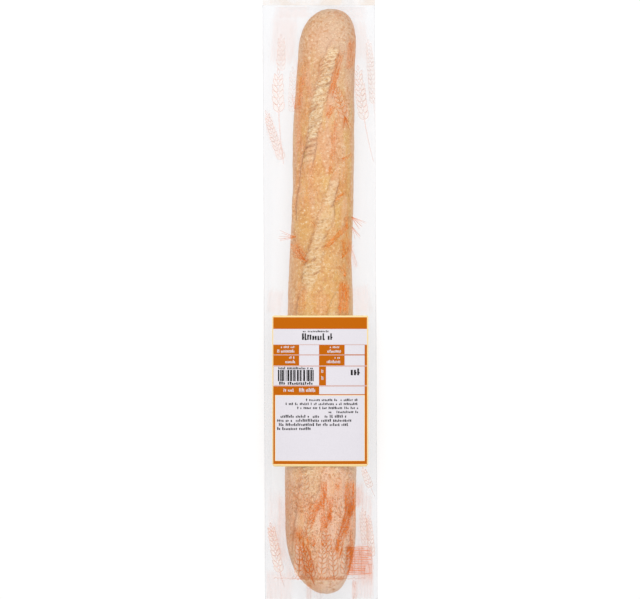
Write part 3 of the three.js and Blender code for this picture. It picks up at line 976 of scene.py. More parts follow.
def fold_film(columns, rows, heights, crust):
    x, y = np.meshgrid(columns, rows)
    folds = np.zeros_like(heights)
    for middle, angle, length, width, rise in draw_folds(random.Random(FOLD_SEED)):
        s, d = seen_from_axis(x, y, middle, angle)
        s, d = s / (length / 2), d / width
        taper = np.clip(1 - s * s, 0, 1) ** 2
        folds += rise * taper * (np.exp(-d * d) - 0.4 * np.exp(-((d - 1.6) ** 2)))
    free = smooth(0.6, 6.0, heights - crust) * smooth(0, 3, SLEEVE_HALF_WIDTH - np.abs(x))
    free *= smooth(0, 4, from_tube_end(y))
    free[by_label(x, y, 0.5, 2)] = 0
    return np.maximum(heights + free * folds, WELD_HEIGHT)


film_heights = fold_film(film_columns, film_rows, film_heights, under_film)


# %% Read a height off the film
def film_at(x, y):
    """The film's height at places x, y in mm, for what is printed or stuck on it."""
    y = np.asarray(y, float)
    x = np.asarray(x, float) - skew_at(y)
    i = np.clip(np.searchsorted(film_columns, x) - 1, 0, len(film_columns) - 2)
    j = np.clip(np.searchsorted(film_rows, y) - 1, 0, len(film_rows) - 2)
    s = np.clip((x - film_columns[i]) / (film_columns[i + 1] - film_columns[i]), 0, 1)
    t = np.clip((y - film_rows[j]) / (film_rows[j + 1] - film_rows[j]), 0, 1)
    near = film_heights[j, i] * (1 - s) + film_heights[j, i + 1] * s
    far = film_heights[j + 1, i] * (1 - s) + film_heights[j + 1, i + 1] * s
    return near * (1 - t) + far * t


def on_film(x, y, lift):
    """Points that lie on the film, lifted off it a little."""
    return np.stack([x, y, film_at(x, y) + lift], -1)


# %% [markdown]
# The loaf can be made now. Where the label holds the film down, the film presses the crust flat
# under it, so the loaf's points are kept below the film.

# %% Make the loaf
PRESSED_GAP = 0.3
FACTS_AT_TIPS = [0, 0, 0, 0.5]


def make_loaf():
    rings, count = loaf_shape.shape[:2]
    shape = loaf_shape.copy()
    shape[..., 2] = np.minimum(shape[..., 2], film_at(shape[..., 0], shape[..., 1]) - PRESSED_GAP)
    faces = grid_faces(rings, count, wrap=True)[:, ::-1].tolist()
    tips = []
    for y, ring in ((LOAF_BOTTOM_END, 0), (LOAF_TOP_END, rings - 1)):
        tip = rings * count + len(tips)
        x, _, z = shape[ring].mean(0)
        tips.append((x, y, z))
        for i in range(count):
            face = [tip, ring * count + i, ring * count + (i + 1) % count]
            faces.append(face if ring == 0 else face[::-1])
    points = np.concatenate([shape.reshape(-1, 3), tips])
    facts = np.concatenate([loaf_facts, [FACTS_AT_TIPS] * len(tips)])
    new_piece("loaf", points, faces, [crust_material()], ("bake", facts), "bag")


make_loaf()

# %% [markdown]
# ## Film
#
# Polypropylene film is thinner than a hair and quite clear. It hides nothing behind it, but each
# layer takes a little light and mirrors a little, more at a flat angle. A glass shader would
# bend light as if the bag were solid and would darken the loaf with its shadow, so the film is
# a Transparent shader with a share of gloss that grows with the angle by Schlick's rule. Faint
# streaks of haze come from the winding of the roll.

# %% Film material
FILM_TINT = (0.972, 0.974, 0.980, 1)
GLOSS_GREY = (0.5, 0.5, 0.52, 1)
MIRROR_FACING, MIRROR_GRAZING = 0.03, 0.35
SCHLICK_POWER = 5.0
HAZE = 0.03


def mirrored_share(tree):
    """How much a thin film mirrors at each angle."""
    facing = add_node(tree, "LayerWeight", Blend=0.5).outputs["Facing"]
    return plus(times(maths("POWER", facing, SCHLICK_POWER), MIRROR_GRAZING), MIRROR_FACING)


def film_material(name, tint, haze, cloud=None):
    """Clear film. cloud is a second tint, mixed in by patches."""
    material, tree, place = new_material(name)
    streaks = effect(STREAKS, place, Width_mm=11.0, Length_mm=150.0, Contrast=0.3)
    share = plus(mirrored_share(tree), times(streaks, haze))
    ripple = effect(GRAIN, place, Size_mm=14.0, Roughness=0.4)
    bump = add_node(tree, "Bump", Height=ripple, Strength=0.35, Distance=0.0008).outputs[0]
    if cloud:
        tint = blend(where(effect(GRAIN, place, Size_mm=17.0), 0.40, 0.60), tint, cloud)
    clear = add_node(tree, "BsdfTransparent", Color=tint)
    gloss = add_node(
        tree, "BsdfPrincipled", Base_Color=GLOSS_GREY, Roughness=0.16, Normal=bump, Specular_IOR_Level=0.8,
    )
    both = add_node(tree, "MixShader", in_0=share, in_1=clear.outputs[0], in_2=gloss.outputs[0])
    return finish_material(material, both)


# %% Make the film tube
BACK_COLUMNS = 26


def make_film():
    """The sleeve between its welds: the front just worked out, and the back on the table."""
    back = np.linspace(SLEEVE_HALF_WIDTH, -SLEEVE_HALF_WIDTH, BACK_COLUMNS + 2)[1:-1]
    out = np.clip((np.abs(back) - BACK_HALF_FLAT) / (SLEEVE_HALF_WIDTH - BACK_HALF_FLAT), 0, None)
    curl = crease_height(film_rows)[:, None] * out**BACK_CURL
    curl[[0, -1]] = 0
    rows = film_rows[:, None]
    x = np.concatenate([film_columns + skew_at(rows), back + skew_at(rows)], 1)
    z = np.concatenate([film_heights, curl + FILM_ABOVE_TABLE], 1)
    points = np.stack([x, np.broadcast_to(rows, x.shape), z], -1)
    faces = grid_faces(*points.shape[:2], wrap=True)
    clear = film_material("clear film", FILM_TINT, HAZE)
    new_piece("film", points.reshape(-1, 3), faces, [clear], replaces="bag")


make_film()

# %% [markdown]
# ## Welds
#
# At each end hot jaws weld front and back together in a band. The jaws leave fine ribs across
# the band, and the knife beyond them a saw-toothed edge. The band is two films in one, so it is
# milkier than the tube.

# %% Make the welds
WELD_TINT, WELD_CLOUD, WELD_HAZE = (0.975, 0.965, 0.96, 1), (0.966, 0.932, 0.902, 1), 0.08
RIB_PITCH, RIB_HEIGHT = 1.5, 0.10
TOOTH_PITCH, TOOTH_DEPTH = 2.4, 0.9
WAVE_LENGTH, WAVE_HEIGHT = 9.0, 0.35
WELD_STEP = 0.25
WELD_OVERLAP = 0.1
WELD_SHEET = 0.15


def slab(top, thickness):
    """A closed thin sheet from a grid of top points: rows x columns x 3."""
    rows, columns = top.shape[:2]
    under = top - np.array([0, 0, thickness])
    points = np.concatenate([top.reshape(-1, 3), under.reshape(-1, 3)])
    count = rows * columns
    faces = grid_faces(rows, columns)
    numbers = np.arange(count).reshape(rows, columns)
    rim = np.concatenate([numbers[0], numbers[1:, -1], numbers[-1, -2::-1], numbers[-2:0:-1, 0]])
    after = np.roll(rim, -1)
    sides = np.stack([rim, rim + count, after + count, after], 1)
    return points, np.concatenate([faces, faces[:, ::-1] + count, sides])


def make_weld(name, inner, outer, material):
    """One welded end, from the tube's end to the saw-toothed edge."""
    way = math.copysign(1, outer)
    teeth_across = round(2 * SLEEVE_HALF_WIDTH / (TOOTH_PITCH / 4))
    across = np.linspace(-SLEEVE_HALF_WIDTH, SLEEVE_HALF_WIDTH, teeth_across + 1)
    t = np.linspace(0, 1, round(abs(outer - inner) / WELD_STEP) + 1)[:, None]
    teeth = TOOTH_DEPTH * np.abs((across / TOOTH_PITCH) % 1 - 0.5) * 2
    start = inner - way * WELD_OVERLAP
    y = start + t * (outer - start) - way * teeth * smooth(0.75, 1.0, t)
    ribs = RIB_HEIGHT * (0.5 + 0.5 * np.cos(2 * np.pi * (y - inner) / RIB_PITCH))
    wave = WAVE_HEIGHT * (np.sin(across / WAVE_LENGTH + 1.3) + 1) * smooth(0.2, 1.0, t)
    top = np.stack([across + skew_at(y), y, WELD_HEIGHT + ribs + wave], -1)
    points, faces = slab(top if way > 0 else top[::-1], WELD_SHEET)
    new_piece(name, points, faces, [material])


film_welded = film_material("welded film", WELD_TINT, WELD_HAZE, WELD_CLOUD)
make_weld("weld_top", TUBE_TOP_END, SLEEVE_TOP_END, film_welded)
make_weld("weld_bottom", TUBE_BOTTOM_END, SLEEVE_BOTTOM_END, film_welded)

# %% [markdown]
# ## Label
#
# The label is a sheet of coated paper, printed in fields: an orange ground with white boxes for
# the shop to fill in, and a cream margin. The fields are rectangles, so the sheet's grid is
# split exactly at their edges and every face takes the material of the field it lies in. That
# keeps each edge sharp at any distance, which a picture on the sheet wouldn't. The sheet lies
# on the film, so its height is read off the film.

# %% Label fields
# Each field is (left, right, top, bottom) in mm from the label's upper left corner.
LABEL_ORANGE = (0.85, 75.55, 1.4, 118.4)
LABEL_CREAM = (2.25, 73.8, 63.4, 115.9)
LABEL_WHITE = [
    (0.85, 75.55, 10.7, 22.9), (21.5, 37.3, 23.5, 31.0), (57.7, 73.7, 23.5, 31.0),
    (21.5, 37.3, 31.8, 39.8), (57.7, 73.7, 31.8, 39.8), (1.0, 37.3, 40.7, 55.6),
    (42.9, 73.7, 40.7, 55.6), (37.5, 73.7, 56.5, 62.7), (2.65, 73.4, 63.8, 115.5),
]
LABEL_RULES = [
    (1.0, 57.7, 31.25, 31.6), (0.85, 75.55, 40.0, 40.45), (0.85, 75.55, 55.85, 56.25),
    (0.85, 75.55, 23.0, 23.3),
]
CREAM_INK, ORANGE_INK, WHITE_PAPER = range(3)  # the label's materials
CORNER_RADIUS = 1.5
PAPER_ABOVE_FILM, PAPER_THICKNESS = 0.42, 0.3

paper_left = LABEL_CENTRE_X - LABEL_WIDTH / 2
paper_top = LABEL_CENTRE_Y + LABEL_LENGTH / 2
print("label, mm:", LABEL_WIDTH, "x", round(LABEL_LENGTH, 1), "with", len(LABEL_WHITE), "white boxes")


def on_label(across, down, lift=0.0):
    """Points on the label, from mm across and down its face."""
    x, y = paper_left + np.asarray(across, float), paper_top - np.asarray(down, float)
    return on_film(x, y, PAPER_ABOVE_FILM + lift)


# %% [markdown]
# Coated paper has a fine tooth, hardly any gloss, and long soft waves where the film under it
# pulls. The ink is printed straight on it, so all the colours share one make of material.


# %% Paper materials
def paper_material(name, tint, roughness, specular=0.35):
    material, tree, place = new_material(name)
    tooth = effect(GRAIN, place, Size_mm=0.7, Roughness=0.6)
    waves = effect(GRAIN, place, Size_mm=26.0, Roughness=0.4)
    cloudy = tuple(0.93 * c for c in tint[:3]) + (1,)
    shade = blend(where(tooth, 0.35, 0.75), tint, cloudy)
    relief = plus(times(tooth, 0.10), times(waves, 6.0))
    bump = add_node(tree, "Bump", Height=relief, Strength=0.35, Distance=0.0006).outputs[0]
    skin = add_node(tree, "BsdfPrincipled", Base_Color=shade, Roughness=roughness, Normal=bump)
    skin.inputs["Specular IOR Level"].default_value = specular
    return finish_material(material, skin)


paper_white = paper_material("label paper", colour(211, 207, 213), 0.55)
paper_orange = paper_material("orange label ink", colour(182, 94, 0), 0.7, 0.06)
paper_cream = paper_material("cream label margin", colour(239, 211, 151), 0.5)
paper_black = paper_material("black label ink", colour(18, 15, 18), 0.6, 0.1)

# %% Make the label
LABEL_STEP = 2.4
ROWS_IN_CORNERS = [0.3, 0.7]


def split_lines(edges, length):
    """Grid lines from 0 to length that include every edge, with steps no longer than LABEL_STEP."""
    fixed = sorted({0.0, length, *(round(e, 3) for e in edges)})
    lines = [0.0]
    for start, end in zip(fixed, fixed[1:]):
        lines += list(np.linspace(start, end, max(1, math.ceil((end - start) / LABEL_STEP)) + 1)[1:])
    return np.array(lines)


def field_of(across, down):
    """Which of its materials the label has at a place."""
    def inside(box):
        return box[0] < across < box[1] and box[2] < down < box[3]

    if any(inside(box) for box in LABEL_WHITE + LABEL_RULES):
        return WHITE_PAPER
    return ORANGE_INK if inside(LABEL_ORANGE) and not inside(LABEL_CREAM) else CREAM_INK


def make_label():
    boxes = [LABEL_ORANGE, LABEL_CREAM, *LABEL_WHITE, *LABEL_RULES]
    across = split_lines([edge for box in boxes for edge in box[:2]], LABEL_WIDTH)
    down = split_lines([edge for box in boxes for edge in box[2:]] + ROWS_IN_CORNERS, LABEL_LENGTH)
    u, v = np.meshgrid(across, down)
    near_end = np.clip(CORNER_RADIUS - np.minimum(v, LABEL_LENGTH - v), 0, CORNER_RADIUS)
    inset = CORNER_RADIUS - np.sqrt(CORNER_RADIUS**2 - near_end**2)
    u = LABEL_WIDTH / 2 + (u - LABEL_WIDTH / 2) * (1 - 2 * inset / LABEL_WIDTH)
    points, faces = slab(on_label(u, v)[::-1], PAPER_THICKNESS)
    papers = [paper_cream, paper_orange, paper_white]
    label = new_piece("label", points, faces, papers, replaces="label")
    middles_u = (across[1:] + across[:-1]) / 2
    middles_v = (down[1:] + down[:-1])[::-1] / 2
    fields = [field_of(mu, mv) for mv in middles_v for mu in middles_u]
    rest = len(label.data.polygons) - len(fields)
    label.data.polygons.foreach_set("material_index", fields + [WHITE_PAPER] * rest)


make_label()

# %% [markdown]
# What is printed in the boxes is only the look of small print: rows of short ticks of random
# height, grouped into words, and a block of random bars that no scanner can read. They are thin
# quads just above the paper, in black on white and in white on orange.

# %% Where the small print goes
# Each row is (start, end, top, height, pitch, share of ticks left out as gaps).
ROWS_OVER_BARS = [
    (24.5, 47.5, 11.8, 1.5, 1.3, 0.16), (23.8, 50.0, 14.2, 5.2, 2.05, 0.1), (5.0, 34.0, 40.9, 1.9, 1.15, 0.3),
]
BARS = (4.6, 34.6, 43.3, 52.3)
ROWS_UNDER_BARS = [(5.6, 33.0, 52.7, 2.4, 1.7, 0.08), (62.6, 70.6, 42.2, 5.4, 2.6, 0.0)]
for top, start in ((66.2, 27), (69.4, 7), (72.6, 20), (75.8, 45)):
    ROWS_UNDER_BARS.append((start, 69.5, top, 1.9, 1.25, 0.16))
for top, end in ((79.1, 62), (82.3, 64.5), (85.6, 61.5), (88.9, 32)):
    ROWS_UNDER_BARS.append((4.0, end, top, 2.3, 1.35, 0.16))
ROWS_IN_WHITE = []
for left, right, top in ((4.0, 19.0, 24.2), (43.0, 55.3, 24.2), (10.5, 19.0, 32.6), (43.5, 55.3, 32.6)):
    ROWS_IN_WHITE += [(left + 3, right, top, 1.7, 1.1, 0.25), (left, right, top + 2.9, 2.4, 1.0, 0.04)]
ROWS_IN_WHITE += [
    (9.0, 19.0, 58.2, 2.4, 1.2, 0.2), (21.5, 35.0, 57.8, 3.0, 1.1, 0.03),
    (39.2, 41.4, 43.0, 2.6, 0.9, 0.0), (39.2, 41.4, 47.5, 3.6, 0.9, 0.0),
]
print("rows of small print:", len(ROWS_OVER_BARS + ROWS_UNDER_BARS), "black,", len(ROWS_IN_WHITE), "white")

# %% Make the label's small print
TICK_LIFT = 0.05
TICK_HEIGHTS = (0.62, 0.62, 0.8, 1.0)  # as shares of the row's height, like low and tall letters
CROSSBAR_LEVELS = (0.42, 0.7, 1.0)
BAR_UNIT = 0.36
BAR_WIDTHS, BAR_GAPS = (1, 1, 2, 3, 4), (1, 1, 2, 3)
LAST_BAR_ROOM = 1.6
PRINT_SEED = 5


def tick(quads, left, right, top, bottom):
    quads.append([(left, bottom), (right, bottom), (right, top), (left, top)])


def tick_row(quads, rng, start, end, top, height, pitch, gap):
    """A row of upright ticks, most of them with a crossbar, and word gaps between some."""
    place = start
    while place < end - pitch:
        if rng.random() > gap:
            width = pitch * rng.uniform(0.50, 0.68)
            rise = height * rng.choice(TICK_HEIGHTS)
            tick(quads, place, place + width, top + height - rise, top + height)
            if rng.random() < 0.7:
                level = top + height * rng.choice(CROSSBAR_LEVELS) - 0.16 * height
                tick(quads, place, place + pitch * 0.8, level, level + 0.2 * height)
        place += pitch


def bar_block(quads, rng, start, end, top, bottom):
    """Random upright bars of one to four units, with random gaps."""
    place = start
    while place < end - LAST_BAR_ROOM:
        width = BAR_UNIT * rng.choice(BAR_WIDTHS)
        tick(quads, place, place + width, top, bottom)
        place += width + BAR_UNIT * rng.choice(BAR_GAPS)


def make_small_print():
    rng = random.Random(PRINT_SEED)
    dark, light = [], []
    for row in ROWS_OVER_BARS:
        tick_row(dark, rng, *row)
    bar_block(dark, rng, *BARS)
    for row in ROWS_UNDER_BARS:
        tick_row(dark, rng, *row)
    for row in ROWS_IN_WHITE:
        tick_row(light, rng, *row)
    corners = np.array(dark + light).reshape(-1, 2)
    faces = np.arange(len(corners)).reshape(-1, 4)
    points = on_label(corners[:, 0], corners[:, 1], TICK_LIFT)
    inks = [paper_black, paper_white]
    piece = new_piece("label_small_print", points, faces, inks, replaces="label")
    piece.data.polygons.foreach_set("material_index", [0] * len(dark) + [1] * len(light))


make_small_print()

# %% [markdown]
# ## Print on the film
#
# The film is printed in one see-through orange ink. It lies in three kinds of marks: soft
# washes, brushed streaks and drawn wheat ears, whose kernels have a thin outline and a milky
# fill. Real ink only filters what is behind it, so it looks pink over the white table and a deep
# orange over the crust. A coloured filter doesn't survive the export, so the ink is a thin
# pigment mixed with clear, and an attribute says how much ink and how much milky white each
# point carries, and whether crust lies behind it, where the pigment is deeper. One material
# serves all the print. The marks are sheets a tenth or two of a millimetre above the film.

# %% Ink material
INK = (0.80, 0.19, 0.012, 1)
INK_OVER_CRUST = (0.82, 0.205, 0.0, 1)
INK_DEEP = (0.64, 0.125, 0.0, 1)
INK_COVER = 0.70
MORE_OVER_CRUST = 0.25
MILK = colour(253, 222, 196)
MILK_COVER = 0.56
THICKEST = 0.92
CLEAR = (1, 1, 1, 1)
CRUST_FADE = (1.03, 0.95)  # as shares of the loaf's half width: beside it, and over it
NEARLY_NOTHING = 0.001  # for divisions


def ink_material():
    material, tree, place = new_material("film ink")
    amounts = add_node(tree, "VertexColor", {"layer_name": "ink"}).outputs["Color"]
    ink_amount, milk_amount, over_crust = add_node(tree, "SeparateColor", Color=amounts).outputs
    uneven = effect(GRAIN, place, Size_mm=1.3, Roughness=0.7)
    strength = plus(times(over_crust, MORE_OVER_CRUST * INK_COVER), INK_COVER)
    speckled = times(plus(where(uneven, 0.36, 0.64), -0.5), over_crust)
    evenness = plus(plus(uneven, 0.5), times(speckled, 0.9))
    milk = times(milk_amount, MILK_COVER)
    cover = plus(times(times(ink_amount, strength), evenness), milk)
    milk_share = maths("DIVIDE", milk, plus(cover, 0.0001))
    deep = blend(where(ink_amount, 0.35, 0.85), INK_OVER_CRUST, INK_DEEP)
    shade = blend(milk_share, blend(over_crust, INK, deep), MILK)
    clear = add_node(tree, "BsdfTransparent", Color=CLEAR)
    body = add_node(tree, "BsdfPrincipled", Base_Color=shade, Roughness=0.45, Specular_IOR_Level=0.3)
    capped = maths("MINIMUM", cover, THICKEST)
    both = add_node(tree, "MixShader", in_0=capped, in_1=clear.outputs[0], in_2=body.outputs[0])
    return finish_material(material, both)


film_ink = ink_material()


def print_piece(name, x, y, faces, ink, milk, lift):
    """A piece of the film's print, with its ink and what lies behind it as an attribute."""
    middle, half_width = loaf_at(y)[:2]
    over_crust = smooth(*CRUST_FADE, np.abs(x - middle) / np.maximum(half_width, NEARLY_NOTHING))
    amounts = np.stack([ink, milk, over_crust, np.ones(len(x))], -1)
    new_piece(name, on_film(x, y, lift), faces, [film_ink], ("ink", amounts), "bag")


# %% [markdown]
# The washes and streaks are strokes of a wide, dry brush. Each has a place, a size and a lean.
# A fine grid over the sleeve adds up what the strokes leave at every point, with long noise for
# the bristles, and the grid's empty faces are dropped.

# %% Brush strokes
# Each stroke is (x, y, half width, half length, lean in degrees, ink, bristles), in mm.
STROKES = [
    (-29, 208, 11, 20, 4, 0.16, 0.3), (-37.5, 131, 4.5, 21, -20, 0.13, 0.3),
    (32, 208, 7, 17, -6, 0.13, 0.4), (38, 174, 6, 24, 3, 0.03, 0.3), (13, -154, 6, 14, 0, 0.22, 0.9),
    (0, -162, 24, 27, 0, 0.08, 0.9), (25, -184, 3.4, 27, 2, 0.34, 0.8),
    (24.6, 196, 3.6, 13, 3, 0.38, 0.8), (12.4, 180, 2.6, 19, 14, 0.56, 0.9),
    (8.4, 150, 2.4, 6, 30, 0.42, 0.8), (-16, 166, 3.0, 14, 6, 0.34, 0.9),
    (-13, 176, 6, 16, -4, 0.24, 0.8), (-16, 138, 5.0, 24, 3, 0.2, 0.9), (11, 127, 2.4, 17, 3, 0.34, 0.9),
    (21, 113, 1.3, 5, 60, 0.4, 0.5), (8.3, 103, 1.8, 3, 0, 0.4, 0.6), (16, 82, 1.0, 5, 50, 0.5, 0.5),
    (21, 59, 1.2, 9, 0, 0.34, 0.6), (2, 182, 4, 12, 16, 0.12, 0.8), (24, 231, 14, 7, 0, 0.1, 0.2),
    (-22, 231, 15, 6, 0, 0.14, 0.2), (13, 50, 1.8, 15, 44, 0.62, 0.8), (-17, 39, 4.2, 7, -34, 0.3, 0.8),
    (23, 38, 4.5, 14, -18, 0.32, 0.9), (19, 1, 4.6, 14, 2, 0.66, 0.8), (1, -4, 8, 9, 0, 0.2, 0.9),
    (-10, 92, 6, 18, 8, 0.12, 0.9), (20, 92, 6, 20, -4, 0.05, 0.9), (-36, -2, 7, 10, 8, 0.13, 0.4),
    (33, 0, 8, 12, -12, 0.14, 0.4), (-14, 2, 3.4, 13, 0, 0.26, 0.9), (-36, -177, 6.0, 25, 0, 0.12, 0.6),
    (-30.3, -183, 3.8, 28, 0, 0.22, 0.5), (35.5, -176, 6.5, 25, 2, 0.24, 0.7),
    (31.5, -155, 3.8, 10, 0, 0.22, 0.4), (36, -212, 6.5, 16, 0, 0.14, 0.6),
    (2.8, -156, 2.9, 12, 0, 0.72, 0.8), (7.8, -167, 2.2, 11, 0, 0.72, 0.9),
    (2.4, -176, 2.6, 10, -4, 0.55, 0.9), (14, -149, 2.4, 3, 0, 0.34, 0.7),
    (23.6, -158, 4.6, 14, 2, 0.72, 0.8), (18.4, -186, 3.8, 22, 15, 0.78, 0.9),
    (-4.8, -171.5, 2.8, 12, 21, 0.66, 0.9), (-13, -166, 6, 14, -20, 0.22, 0.9),
    (-13, -200, 6.5, 20, -8, 0.44, 0.9), (-1, -202, 8, 20, 0, 0.16, 0.9),
    (-24, -172, 4, 30, -2, 0.2, 0.8), (29, -158, 3, 9, 0, 0.3, 0.6), (-4, -215, 20, 9, 0, 0.14, 0.9),
    (12, -188, 9, 18, 0, 0.14, 0.9), (-3, -234, 6, 8, 0, 0.14, 0.7), (-33, -230, 12, 14, 0, 0.2, 0.5),
    (-9, -234, 2.2, 9, 0, 0.3, 0.4), (27.5, -234, 2.2, 10, 0, 0.32, 0.4),
    (35, -229, 10, 12, 0, 0.2, 0.5), (-35.5, -193, 3.4, 14, -13, 0.2, 0.5),
    (-25.5, -212, 3, 12, -14, 0.14, 0.5), (38, -220, 5, 10, 0, 0.16, 0.5),
    (40.6, -211, 2.0, 14, 0, 0.26, 0.4), (30.5, -209, 10.2, 13, 0, 0.47, 0.3),
    (24, -208, 3.2, 12, 0, 0.4, 0.3), (8, 158, 3.4, 12, 12, 0.14, 0.8),
]

# %% Make the washes
WASH_LIFT = 0.10
WASH_STEP_ACROSS, WASH_STEP_ALONG = 0.7, 1.4
BRISTLE_WIDTH, BRISTLE_LENGTH = 0.9, 16
FAINTEST = 0.012


def stroke_ink(x, y, stroke, number):
    """What one brush stroke leaves at the points x, y."""
    cx, cy, half_width, half_length, lean, ink, bristles = stroke
    s, d = seen_from_axis(x, y, (cx, cy), math.radians(lean))
    s, d = s / half_length, d / half_width
    near = (np.abs(s) < 1.3) & (np.abs(d) < 1.3)
    left = np.zeros_like(x)
    s, d = s[near], d[near]
    places = [d * half_width / BRISTLE_WIDTH, s * half_length / BRISTLE_LENGTH, np.full_like(s, number)]
    places = np.stack(places, -1)
    hairs = noise_at(places, 1.0)
    ragged = 0.22 * noise_at(places * (1.0, 0.2, 3.0), 1.0)
    body = smooth(1.12, 0.62, np.abs(s) + ragged) * smooth(1.08, 0.62, np.abs(d) + 0.5 * ragged)
    left[near] = ink * body * np.clip(1 - bristles * (0.5 - 1.1 * hairs), 0, 1.6)
    return left


def make_washes():
    x, y = np.meshgrid(
        np.arange(-SLEEVE_HALF_WIDTH + 2, SLEEVE_HALF_WIDTH - 2, WASH_STEP_ACROSS),
        np.arange(TUBE_BOTTOM_END + 1, TUBE_TOP_END - 1, WASH_STEP_ALONG),
    )
    faces = grid_faces(*x.shape)
    x, y = x.ravel(), y.ravel()
    ink = sum(stroke_ink(x, y, stroke, number) for number, stroke in enumerate(STROKES))
    ink[by_label(x, y, -1, -1)] = 0
    ink = np.clip(ink, 0, 1)
    faces = faces[ink[faces].max(1) > FAINTEST]
    used, numbers = np.unique(faces, return_inverse=True)
    no_milk = np.zeros(len(used))
    print_piece("print_washes", x[used], y[used], numbers.reshape(-1, 4), ink[used], no_milk, WASH_LIFT)


make_washes()

# %% [markdown]
# A wheat ear is drawn the plain way that bakers' bags have it: a bent stalk, and kernels in
# pairs that lean out from it, smaller towards the tip. Each kernel is a filled leaf shape with
# an outline of its own. Seeded draws vary every one a little. Bristles fan out from some places,
# and the stronger brush strokes leave single hairs too.

# %% Pen and leaves
LINE_WIDTH = 0.46
LINE_POINTS = 7


class Drawing:
    """Collects flat shapes with their ink, to be laid on the film as one mesh."""

    def __init__(self):
        self.places, self.faces, self.ink, self.milk = [], [], [], []

    def add(self, places, faces, ink, milk=0.0):
        first = len(self.places)
        self.places += [tuple(p) for p in places]
        self.faces += [tuple(first + i for i in face) for face in faces]
        self.ink += [ink] * len(places)
        self.milk += [milk] * len(places)

    def line(self, middle, widths, ink):
        """A ribbon along a row of points, with its width at each."""
        middle = np.asarray(middle, float)
        run = np.gradient(middle, axis=0)
        run /= np.maximum(np.hypot(run[:, 0], run[:, 1]), 1e-9)[:, None]
        widths = np.broadcast_to(widths, len(middle))[:, None]
        across = np.stack([-run[:, 1], run[:, 0]], -1) * widths / 2
        count = len(middle)
        quads = [(i, i + 1, count + i + 1, count + i) for i in range(count - 1)]
        self.add(np.concatenate([middle - across, middle + across]), quads, ink)


def heading(angle):
    return np.array([math.sin(angle), math.cos(angle)])


def leaf_outline(base, angle, length, width):
    """Points round a leaf shape, from its base to its tip and back."""
    t = np.linspace(0, 1, LINE_POINTS)
    bulge = np.sin(np.pi * t**0.8) * width / 2
    direction = heading(angle)
    side = np.array([-direction[1], direction[0]])
    middle = base + np.outer(t * length, direction)
    return np.concatenate([middle + np.outer(bulge, side), (middle - np.outer(bulge, side))[-2:0:-1]])


# %% Draw wheat ears
KERNEL_LENGTH, KERNEL_WIDTH = 6.4, 2.7
KERNEL_PITCH = 4.1
KERNEL_LEAN, KERNEL_LEAN_VARIES = 27, 5
STALK_WIDTH = 0.9


def draw_ear(drawing, rng, x, y, length, lean, ink, milk, stalk, size, bend):
    """A wheat ear whose base is at x, y. lean is in degrees from the sleeve's long axis."""
    pairs = max(3, round(length / (KERNEL_PITCH * size)))
    place, angle = np.array([x, y], float), math.radians(lean)
    for k in range(pairs):
        way = heading(angle)
        small = size * (1 - 0.45 * (k / pairs) ** 2)
        for side in (-1, 1):
            varied = rng.uniform(-KERNEL_LEAN_VARIES, KERNEL_LEAN_VARIES)
            tilt = angle + side * math.radians(KERNEL_LEAN + varied)
            base = place + side * 0.5 * size * np.array([way[1], -way[0]])
            leaf = leaf_outline(base, tilt, KERNEL_LENGTH * small, KERNEL_WIDTH * small)
            drawing.add(leaf, [tuple(range(len(leaf)))], 0.05 * ink, milk)
            heavy = LINE_WIDTH * size * rng.uniform(0.8, 1.3)
            drawing.line(np.concatenate([leaf, leaf[:1]]), heavy, ink * rng.uniform(0.7, 1.1))
        place = place + way * KERNEL_PITCH * size * (1 - 0.25 * k / pairs)
        angle += math.radians(bend) / pairs
    tip = leaf_outline(place, angle, KERNEL_LENGTH * size * 0.6, KERNEL_WIDTH * size * 0.5)
    drawing.line(np.concatenate([tip, tip[:1]]), LINE_WIDTH * size, ink)
    if stalk:
        t = np.linspace(0, 1, 9)
        bow = np.outer(t * t * stalk * 0.06, (1, 0))
        foot = np.array([x, y]) - np.outer(t * stalk, heading(math.radians(lean))) + bow
        drawing.line(foot, STALK_WIDTH * size * (1 - 0.5 * t), ink * 0.8)


# %% Draw bristles and hairs
AWN_WIDTH, HAIR_WIDTH = 0.6, 0.5
HAIRS_PER_MM = 1.6
HAIRY_INK = 0.3  # strokes with more ink than this also leave single hairs


def draw_awns(drawing, rng, x, y, length, lean, spread, count, ink):
    """Thin bristles that fan out from a point."""
    t = np.linspace(0, 1, LINE_POINTS)
    for k in range(count):
        angle = math.radians(lean + spread * ((k + 0.5) / count - 0.5) + rng.uniform(-3, 3))
        reach = length * rng.uniform(0.7, 1.0)
        curve = reach * 0.12 * rng.uniform(-1, 1) * t * t
        drawing.line(on_axis((x, y), angle, t * reach, curve), AWN_WIDTH * (1 - 0.6 * t), ink)


def draw_hairs(drawing, rng, stroke):
    """The single hairs of one brush stroke: thin broken lines along it."""
    cx, cy, half_width, half_length, lean, ink, _ = stroke
    t = np.linspace(-1, 1, LINE_POINTS)
    for _ in range(round(HAIRS_PER_MM * 2 * half_width)):
        side = rng.uniform(-0.95, 0.95) * half_width
        along = rng.uniform(-0.8, 0.8) * half_length
        reach = rng.uniform(0.12, 0.40) * half_length
        sway = side + 0.4 * np.sin(2.2 * t + rng.uniform(0, 6.3))
        places = on_axis((cx, cy), math.radians(lean), along + t * reach, sway)
        drawing.line(places, HAIR_WIDTH * (1 - 0.6 * t * t), min(1.0, ink * rng.uniform(0.5, 1.2)))


